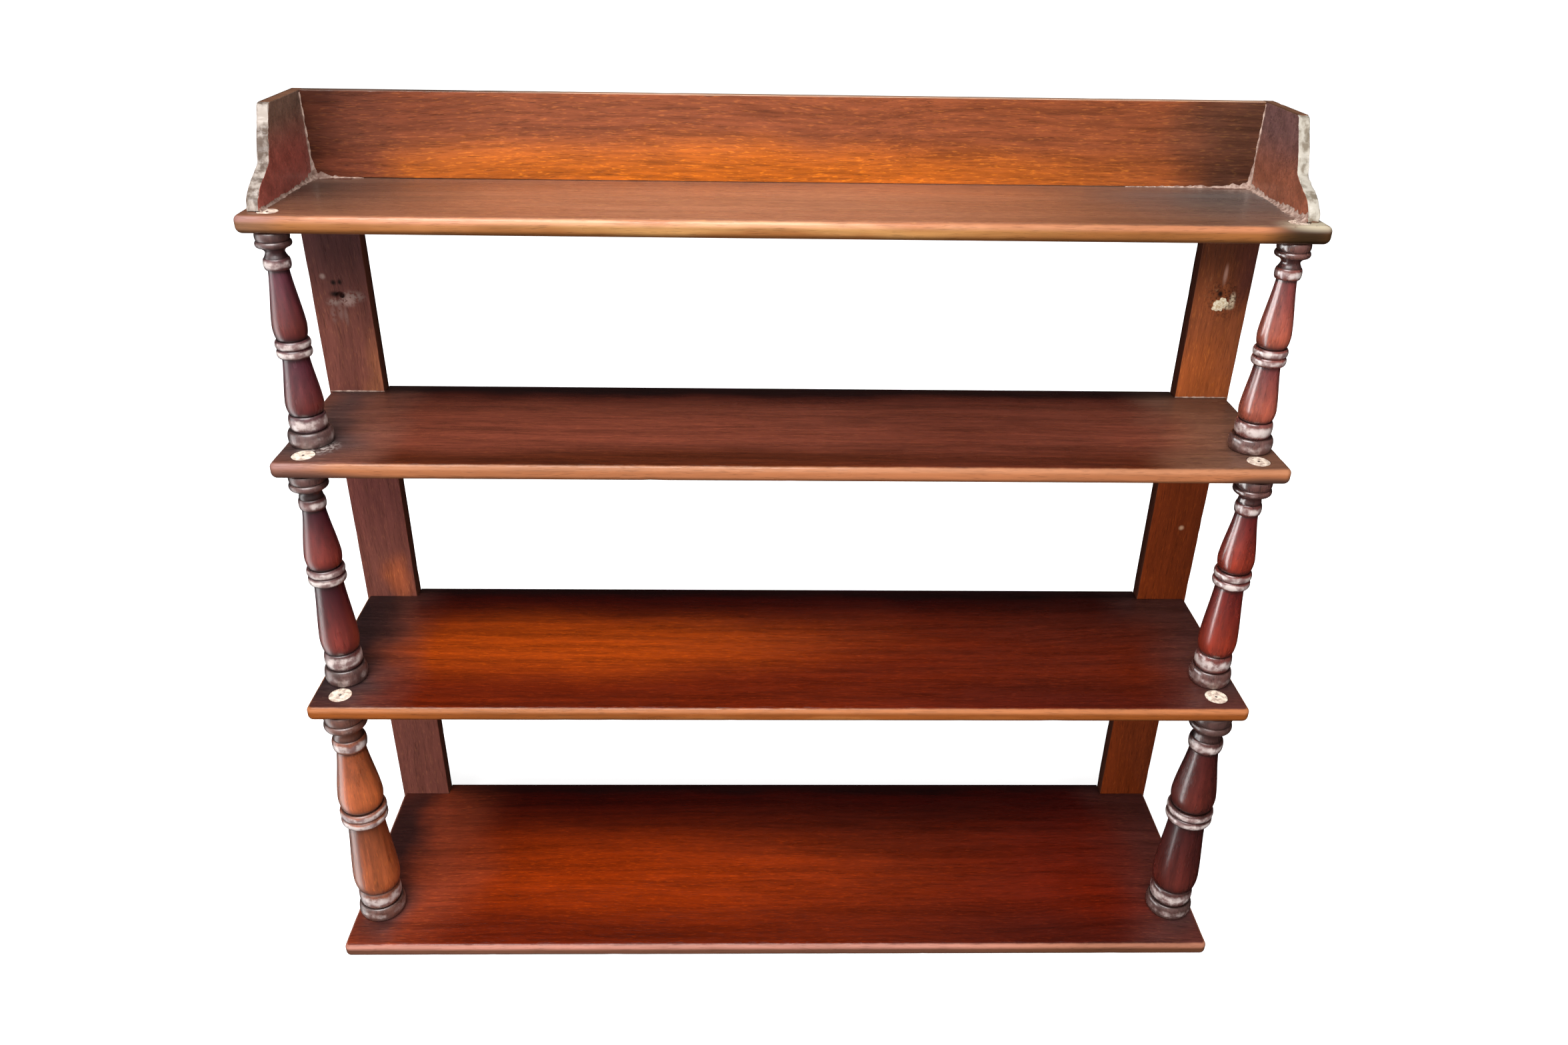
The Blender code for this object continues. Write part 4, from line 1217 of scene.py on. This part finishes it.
def shelf_looks():
    """The looks of the four shelves: pale orange on top, dull brown below it, and two deep red ones, with
    painted shade, sheen and glow laid on them.
    """
    upper_foot = spindle_axis(BAYS[0], "left") + (0.010, -0.012)
    mauve_end = ("band", (0, -0.40, -0.455), MAUVE, 0.8)
    top = dict(
        base=(0.31, 0.115, 0.058),
        layers=[
            # Painted reflection: a grey-brown sheen at the left end, a grey sheen at the right end and a
            # pale orange sheen in the middle
            ("pool", ((-0.45, 0.0, 0), (0.255, 0.25, None)), GREY_BROWN_SHEEN, 0.95),
            ("band", (0, 0.12, 0.30), (0.14, 0.058, 0.028), 0.6),
            ("pool", ((0.46, 0.0, 0), (0.28, 0.24, None)), GREY_SHEEN, 0.9),
            ("pool", ((-0.02, -0.09, 0), (0.38, 0.14, None)), PALE_ORANGE_SHEEN, 0.75),
            ("band", (1, -0.045, -0.014), (0.19, 0.095, 0.065), 0.45),
        ],
        # Upper edge tone painted as lit, lower as shaded
        edge_tones=((0.42, 0.160, 0.074), (0.27, 0.098, 0.028)),
        edge_layers=[
            # Painted highlights along the nose, in the middle and near the left
            ("pool", ((-0.08, 0, 0.004), (0.42, None, 0.010)), NOSE_HIGHLIGHT, 0.9),
            mauve_end,
            ("pool", ((-0.30, 0, 0.004), (0.12, None, 0.012)), (0.66, 0.27, 0.16), 0.7),
            ("pool", ((0.445, -0.165, 0), (0.055, 0.080, None)), (0.055, 0.028, 0.018), 1.0),
        ],
        ragged_patches=[((0.446, -0.147, 0.009), (0.044, 0.022, 0.008), SMEAR_CREAM, 160.0, 0.25)],
        streaks=0.25,
        fines=0.15,
    )
    second = dict(
        base=DULL_BROWN,
        layers=[
            # The first layer and the layers from the black rear band on are painted shade: towards the rear,
            # along the rear edge and round the spindles' feet
            ("band", (1, -0.06, -0.015), REAR_SHADE, 0.75),
            ("band", (1, -0.135, -0.168), (0.060, 0.010, 0.002), 0.85),
            ("band", (0, -0.34, -0.41), (0.170, 0.065, 0.045), 0.8),
            ("pool", ((0.20, -0.09, 0), (0.18, None, None)), (0.105, 0.020, 0.010), 0.5),
            ("band", (0, 0.32, 0.40), (0.190, 0.090, 0.056), 0.7),
            ("band", (1, -0.030, -0.012), REAR_SHADE_BLACK, 0.8),
            *foot_shade(1),
        ],
        edge_tones=((0.37, 0.152, 0.074), (0.35, 0.125, 0.052)),
        edge_layers=[mauve_end],
        ragged_patches=[
            # A pale smear of wax at the foot of the upper left spindle that also stands for the painted
            # highlight on the foot's rim, then painted shade on the lower half of the nose at both ends
            ((*upper_foot, -0.202), (0.023, 0.021, 0.004), (0.50, 0.42, 0.39), 320.0, 0.42),
            ((-0.435, -0.186, -0.2150), (0.095, 0.03, 0.0085), (0.100, 0.044, 0.031), 60.0, 0.0),
            ((0.440, -0.186, -0.2155), (0.070, 0.03, 0.0085), (0.080, 0.036, 0.024), 60.0, 0.0),
        ],
    )
    third = dict(
        base=DEEP_RED,
        layers=[
            # A painted glow of light in the middle; every other layer is painted shade: towards the rear, at
            # both ends, to the right, in the right front and rear, along the rear edge and round the
            # spindles' feet
            ("pool", ((-0.23, -0.105, 0), (0.43, 0.085, None)), (0.34, 0.044, 0.002), 0.95),
            ("band", (1, -0.075, -0.01), REAR_SHADE, 0.95),
            ("band", (0, -0.35, -0.42), RED_SHADOW, 0.7),
            ("band", (0, 0.12, 0.42), (0.055, 0.007, 0.003), 0.5),
            ("pool", ((0.30, -0.21, 0), (0.30, 0.05, None)), (0.048, 0.005, 0.003), 0.6),
            ("pool", ((0.30, -0.02, 0), (0.34, 0.06, None)), CORNER_SHADE, 0.45),
            ("band", (0, 0.34, 0.43), RED_SHADOW, 0.6),
            ("band", (1, -0.022, -0.008), REAR_SHADE_BLACK, 0.7),
            *foot_shade(2),
        ],
        edge_tones=((0.39, 0.138, 0.053), (0.24, 0.064, 0.013)),
        # Painted highlight along the nose
        edge_layers=[("pool", ((0.0, 0, -0.463), (0.34, None, 0.010)), NOSE_HIGHLIGHT, 0.55)],
        flecks=0.55,
    )
    bottom = dict(
        base=DEEP_RED,
        layers=[
            # A painted glow of light in the middle and painted shade towards the rear; the layers from the
            # band on the right on are painted shade: to the right, in the right rear and front, at the right
            # end, along the rear edge and round the spindles' feet
            ("pool", ((-0.17, -0.145, 0), (0.45, 0.10, None)), (0.26, 0.025, 0.001), 0.9),
            ("band", (1, -0.10, -0.010), (0.040, 0.0012, 0.0004), 0.95),
            ("band", (0, -0.30, -0.40), (0.25, 0.042, 0.017), 0.8),
            ("pool", ((-0.30, -0.240, 0), (0.22, 0.045, None)), (0.120, 0.011, 0.003), 0.5),
            ("band", (0, 0.10, 0.40), (0.105, 0.003, 0.001), 0.45),
            ("pool", ((0.30, -0.02, 0), (0.34, 0.08, None)), CORNER_SHADE, 0.4),
            ("pool", ((0.30, -0.245, 0), (0.30, 0.06, None)), (0.038, 0.005, 0.003), 0.7),
            ("band", (0, 0.34, 0.43), RED_SHADOW, 0.5),
            ("band", (1, -0.022, -0.008), REAR_SHADE_BLACK, 0.7),
            *foot_shade(3),
        ],
        edge_tones=((0.44, 0.188, 0.138), (0.14, 0.055, 0.032)),
        edge_layers=[("band", (0, 0.10, 0.35), (0.32, 0.120, 0.060), 0.7)],
        flecks=0.55,
    )
    return dict(zip(SHELVES, (top, second, third, bottom)))


def gallery_looks():
    """The looks of the gallery: a back with a painted orange glow of bounced light along its foot and
    painted shade at its ends, and sides with a cream front.
    """
    back = dict(
        base=(0.185, 0.047, 0.017),
        layers=[
            # Painted light: an orange glow bounced from the top shelf along the foot; then painted shade at
            # both ends
            ("pool", ((-0.05, 0, 0.012), (0.55, None, 0.046)), (0.46, 0.108, 0.010), 1.0),
            ("band", (0, -0.345, -0.415), (0.047, 0.016, 0.011), 0.9),
            ("band", (0, 0.35, 0.42), (0.064, 0.026, 0.016), 0.9),
            ("pool", ((-0.345, 0, 0.070), (0.13, None, 0.050)), (0.085, 0.016, 0.006), 0.5),
            ("pool", ((-0.400, 0, 0.016), (0.06, None, 0.036)), (0.155, 0.038, 0.020), 0.65),
        ],
        edge_tones=((0.50, 0.29, 0.19), (0.42, 0.24, 0.16)),
        edge_layers=[("band", (0, -0.15, -0.30), (0.10, 0.05, 0.035), 0.9)],
        fines=0.42,
        flecks=0.60,
    )
    left = dict(
        base=(0.37, 0.100, 0.080),
        layers=[("band", (2, 0.035, 0.080), (0.19, 0.13, 0.096), 0.9)],
        edge_tones=(SIDE_BROWN, SIDE_BROWN),
        front_tones=((0.37, 0.315, 0.275), (0.115, 0.082, 0.064)),
    )
    right = dict(
        base=(0.28, 0.090, 0.050),
        layers=[("band", (2, 0.02, 0.075), (0.135, 0.074, 0.076), 0.85)],
        edge_tones=(SIDE_BROWN, SIDE_BROWN),
        front_tones=((0.44, 0.40, 0.34), (0.19, 0.155, 0.115)),
    )
    return {"gallery_back": back, "gallery_left": left, "gallery_right": right}


def upright_look(base, layers, ragged_patches):
    """The look of an upright, with each scuff as place (x, z), reach (x, z), tone, fineness, sparseness."""
    ragged_patches = [
        ((x, UPRIGHT_FRONT, z), (across, SCUFF_DEPTH, up), *look) for (x, z), (across, up), *look in ragged_patches
    ]
    edges = (EDGE_BROWN, EDGE_BROWN)
    return dict(
        base=base, layers=layers, edge_tones=edges, ragged_patches=ragged_patches, upright=True, streaks=0.28, fines=0.20
    )


def upright_looks():
    """The looks of the two back uprights: maroon on the left, orange-brown on the right, both with scuff
    marks, and both painted darker at the top as shade under the top shelf.
    """
    left = upright_look(
        (0.172, 0.054, 0.040),
        [
            # Painted shade towards the top, under the top shelf
            ("band", (2, -0.15, -0.05), (0.042, 0.014, 0.014), 0.9),
            ("pool", ((-0.409, 0, -0.180), (0.020, None, 0.055)), (0.31, 0.105, 0.054), 0.9),
            ("pool", ((-0.43, 0, -0.30), (None, None, 0.11)), (0.130, 0.038, 0.033), 0.8),
            ("pool", ((-0.414, 0, -0.422), (0.024, None, 0.040)), (0.36, 0.090, 0.038), 0.9),
        ],
        [
            ((-0.4200, -0.1040), (0.018, 0.008), PALE_SCUFF, 300.0, 0.36),
            ((-0.4240, -0.1085), (0.011, 0.008), (0.30, 0.19, 0.165), 300.0, 0.34),
            ((-0.4375, -0.1095), (0.010, 0.006), PALE_SCUFF, 300.0, 0.36),
            ((-0.4345, -0.1015), (0.009, 0.0045), GROOVE_DARK, 60.0, 0.10),
            ((-0.4350, -0.0900), (0.004, 0.004), GROOVE_DARK, 60.0, 0.20),
            ((-0.4290, -0.0895), (0.003, 0.004), GROOVE_DARK, 60.0, 0.20),
            ((-0.4445, -0.0840), (0.004, 0.004), PALE_SCUFF, 200.0, 0.30),
            ((-0.4330, -0.1200), (0.004, 0.012), FAINT_SCUFF, 300.0, 0.30),
            ((-0.4280, -0.1230), (0.003, 0.014), FAINT_SCUFF, 300.0, 0.30),
            ((-0.4400, -0.1220), (0.004, 0.012), FAINT_SCUFF, 300.0, 0.36),
        ],
    )
    right = upright_look(
        (0.250, 0.066, 0.024),
        [
            # Painted shade towards the top, under the top shelf
            ("band", (2, -0.12, -0.04), (0.060, 0.016, 0.007), 0.95),
            ("pool", ((0.430, 0, -0.180), (0.05, None, 0.06)), (0.36, 0.085, 0.020), 0.7),
            ("pool", ((0.446, 0, -0.075), (0.024, None, 0.055)), (0.062, 0.016, 0.014), 0.8),
            ("band", (2, -0.21, -0.23), (0.130, 0.020, 0.004), 0.95),
        ],
        [
            ((0.4300, -0.0740), (0.003, 0.014), (0.30, 0.15, 0.11), 120.0, 0.15),
            ((0.4284, -0.0930), (0.004, 0.005), GROOVE_DARK, 60.0, 0.10),
            ((0.4415, -0.1000), (0.0042, 0.011), (0.66, 0.52, 0.36), 300.0, 0.30),
            ((0.4375, -0.1060), (0.009, 0.004), (0.60, 0.46, 0.30), 300.0, 0.30),
            ((0.4200, -0.0900), (0.016, 0.022), (0.20, 0.10, 0.05), 330.0, 0.55),
            ((0.4330, -0.0980), (0.026, 0.030), (0.022, 0.008, 0.005), 420.0, 0.47),
            ((0.4368, -0.3550), (0.004, 0.004), (0.45, 0.26, 0.16), 60.0, 0.10),
        ],
    )
    return {"left_upright": left, "right_upright": right}


def make_pieces():
    """All the pieces of the shelf, each with its finish."""
    looks = {**shelf_looks(), **gallery_looks(), **upright_looks()}
    boards = {name: board_finish(f"{name}_mahogany", **look) for name, look in looks.items()}
    for level, node in enumerate(SHELVES):
        make_shelf(level, boards[node])
    for side_name, side in SIDES:
        make_upright(side_name, side, boards[f"{side_name}_upright"])
        make_gallery_side(side_name, side, boards[f"gallery_{side_name}"])
        for bay in BAYS:
            tones = SPINDLE_TONES[bay, side_name]
            make_spindle(bay, side_name, turned_finish(f"{bay}_{side_name}_turned_mahogany", *tones))
    make_gallery_back(boards["gallery_back"])
    make_filler(mottled_finish("cream_filler"))
    make_wax(mottled_finish("corner_wax"))
    steel = mottled_finish("old_screw_steel", STEEL_METAL)
    for name, obj in frame["nodes"].items():
        if "screw" in name or "pin_" in name:
            for slot in obj.material_slots:
                slot.material = steel


# Stage, light and camera, with the floor's glow by distance: from, to, and the strength at each
FLOOR_SIZE = 60.0
FLOOR_GAP = 0.0005
FLOOR_TONE = (0.9, 0.9, 0.9)
FLOOR_DULLNESS = 0.9
FLOOR_GLOW = (1.2, 2.2, 0.75, 1.0)
WHITE = (1.0, 1.0, 1.0, 1.0)
CAMERA_PLACE = (-0.02279, -1.1156, 0.2451)
CAMERA_YAW = math.radians(-1.381)
CAMERA_PITCH = math.radians(28.451)
CAMERA_ROLL = math.radians(0.955)
CAMERA_LENS = 26.595
SENSOR_WIDTH = 36.0
AIM = (0.0, -0.10, -0.35)

# Strips of light for the gloss of the left and right spindles: place, size and power
STRIPS = (
    ("left", (-2.5, -0.6, -1.2), (1.3, 3.6), 40.0),
    ("right", (-2.5, -0.1, -1.2), (2.4, 3.6), 260.0),
)

# Light of the studio by its direction along y, z and x: from, to, and the share at each
FRONT_LIGHT = (0.4, -0.6, 0.04, 0.60)
UPPER_LIGHT = (-0.3, 0.2, 0.25, 1.0)
LEFT_LIGHT = (0.7, -0.4, 0.35, 1.0)


def make_floor():
    """A plain pale floor under the bottom shelf, glowing white further out."""
    half = FLOOR_SIZE / 2
    level = CAD_BOX[0][2] - FLOOR_GAP
    mesh = bpy.data.meshes.new("floor")
    corners = [(-half, -half, level), (half, -half, level), (half, half, level), (-half, half, level)]
    mesh.from_pydata(corners, [], [(0, 1, 2, 3)])
    material, tree, shader, place = new_finish("pale_floor")
    set_sockets(shader, {"Base Color": colour(FLOOR_TONE), "Roughness": FLOOR_DULLNESS})
    set_sockets(shader, {"Specular IOR Level": 0.0, "Emission Color": WHITE})
    glow = span(tree, length_of(tree, place), *FLOOR_GLOW)
    tree.links.new(glow, shader.inputs["Emission Strength"])
    mesh.materials.append(material)
    floor = bpy.data.objects.new("floor", mesh)
    floor.visible_glossy = False
    floor.visible_diffuse = False
    floor.visible_shadow = False
    bpy.context.scene.collection.objects.link(floor)


def make_world():
    """A plain studio: white to the eye, and as light bright in front and dim behind the shelf."""
    world = bpy.data.worlds.new("studio")
    bpy.context.scene.world = world
    world.use_nodes = True
    tree = world.node_tree
    tree.nodes.clear()
    direction = add(tree, "ShaderNodeTexCoord").outputs["Generated"]
    sideways, forward, upward = add(tree, "ShaderNodeSeparateXYZ", {0: direction}).outputs
    level = span(tree, forward, *FRONT_LIGHT)
    level = calculate(tree, "MULTIPLY", level, span(tree, upward, *UPPER_LIGHT))
    level = calculate(tree, "MULTIPLY", level, span(tree, sideways, *LEFT_LIGHT))
    lit = add(tree, "ShaderNodeBackground", {"Color": WHITE, "Strength": level}).outputs[0]
    seen = add(tree, "ShaderNodeBackground", {"Color": WHITE, "Strength": 1.0}).outputs[0]
    to_camera = add(tree, "ShaderNodeLightPath").outputs["Is Camera Ray"]
    choice = add(tree, "ShaderNodeMixShader", {0: to_camera, 1: lit, 2: seen}).outputs[0]
    add(tree, "ShaderNodeOutputWorld", {"Surface": choice})


def make_light(name, place, size, power, aim=AIM, diffuse=True, glossy=True, receivers=()):
    """A rectangular soft light that faces a point and lights the whole shelf, or some pieces alone."""
    data = bpy.data.lights.new(name, "AREA")
    data.shape = "RECTANGLE"
    data.size, data.size_y = size
    data.energy = power
    light = bpy.data.objects.new(name, data)
    light.location = place
    facing = Vector(aim) - Vector(place)
    light.rotation_euler = facing.to_track_quat("-Z", "Y").to_euler()
    light.visible_diffuse = diffuse
    light.visible_glossy = glossy
    light.visible_camera = False
    bpy.context.scene.collection.objects.link(light)
    if receivers:
        lit = bpy.data.collections.new(f"{name}_receivers")
        for piece in receivers:
            lit.objects.link(piece)
        light.light_linking.receiver_collection = lit


def make_lights():
    """A key light, soft fills, and the strips that only the spindles catch."""
    make_light("key", (-0.5, -1.2, 1.7), (1.6, 1.0), 60.0)
    make_light("front_fill", (-0.6, -2.4, 0.0), (2.0, 1.2), 45.0, glossy=False)
    make_light("right_fill", (1.6, -1.8, 0.3), (1.2, 1.2), 12.0, glossy=False)
    for side_name, place, size, power in STRIPS:
        spindles = [obj for obj in bpy.data.objects if obj.name.endswith(f"{side_name}_spindle_turning")]
        level = (0.0, AIM[1], place[2])
        make_light(f"{side_name}_strip", place, size, power, level, diffuse=False, receivers=spindles)
    make_light("back_fill", (0.6, 1.8, 0.6), (1.6, 1.6), 15.0, glossy=False)


def make_camera():
    """The camera: level along +Y, turned by its yaw, tipped down by its pitch and rolled."""
    data = bpy.data.cameras.new("camera")
    data.sensor_fit = "HORIZONTAL"
    data.sensor_width = SENSOR_WIDTH
    data.lens = CAMERA_LENS
    camera = bpy.data.objects.new("camera", data)
    yaw = Matrix.Rotation(CAMERA_YAW, 4, "Z")
    pitch = Matrix.Rotation(math.pi / 2 - CAMERA_PITCH, 4, "X")
    roll = Matrix.Rotation(CAMERA_ROLL, 4, "Z")
    camera.matrix_world = Matrix.Translation(CAMERA_PLACE) @ yaw @ pitch @ roll
    bpy.context.scene.collection.objects.link(camera)
    bpy.context.scene.camera = camera


make_pieces()
make_floor()
make_world()
make_lights()
make_camera()
bpy.context.scene.view_settings.view_transform = "Standard"
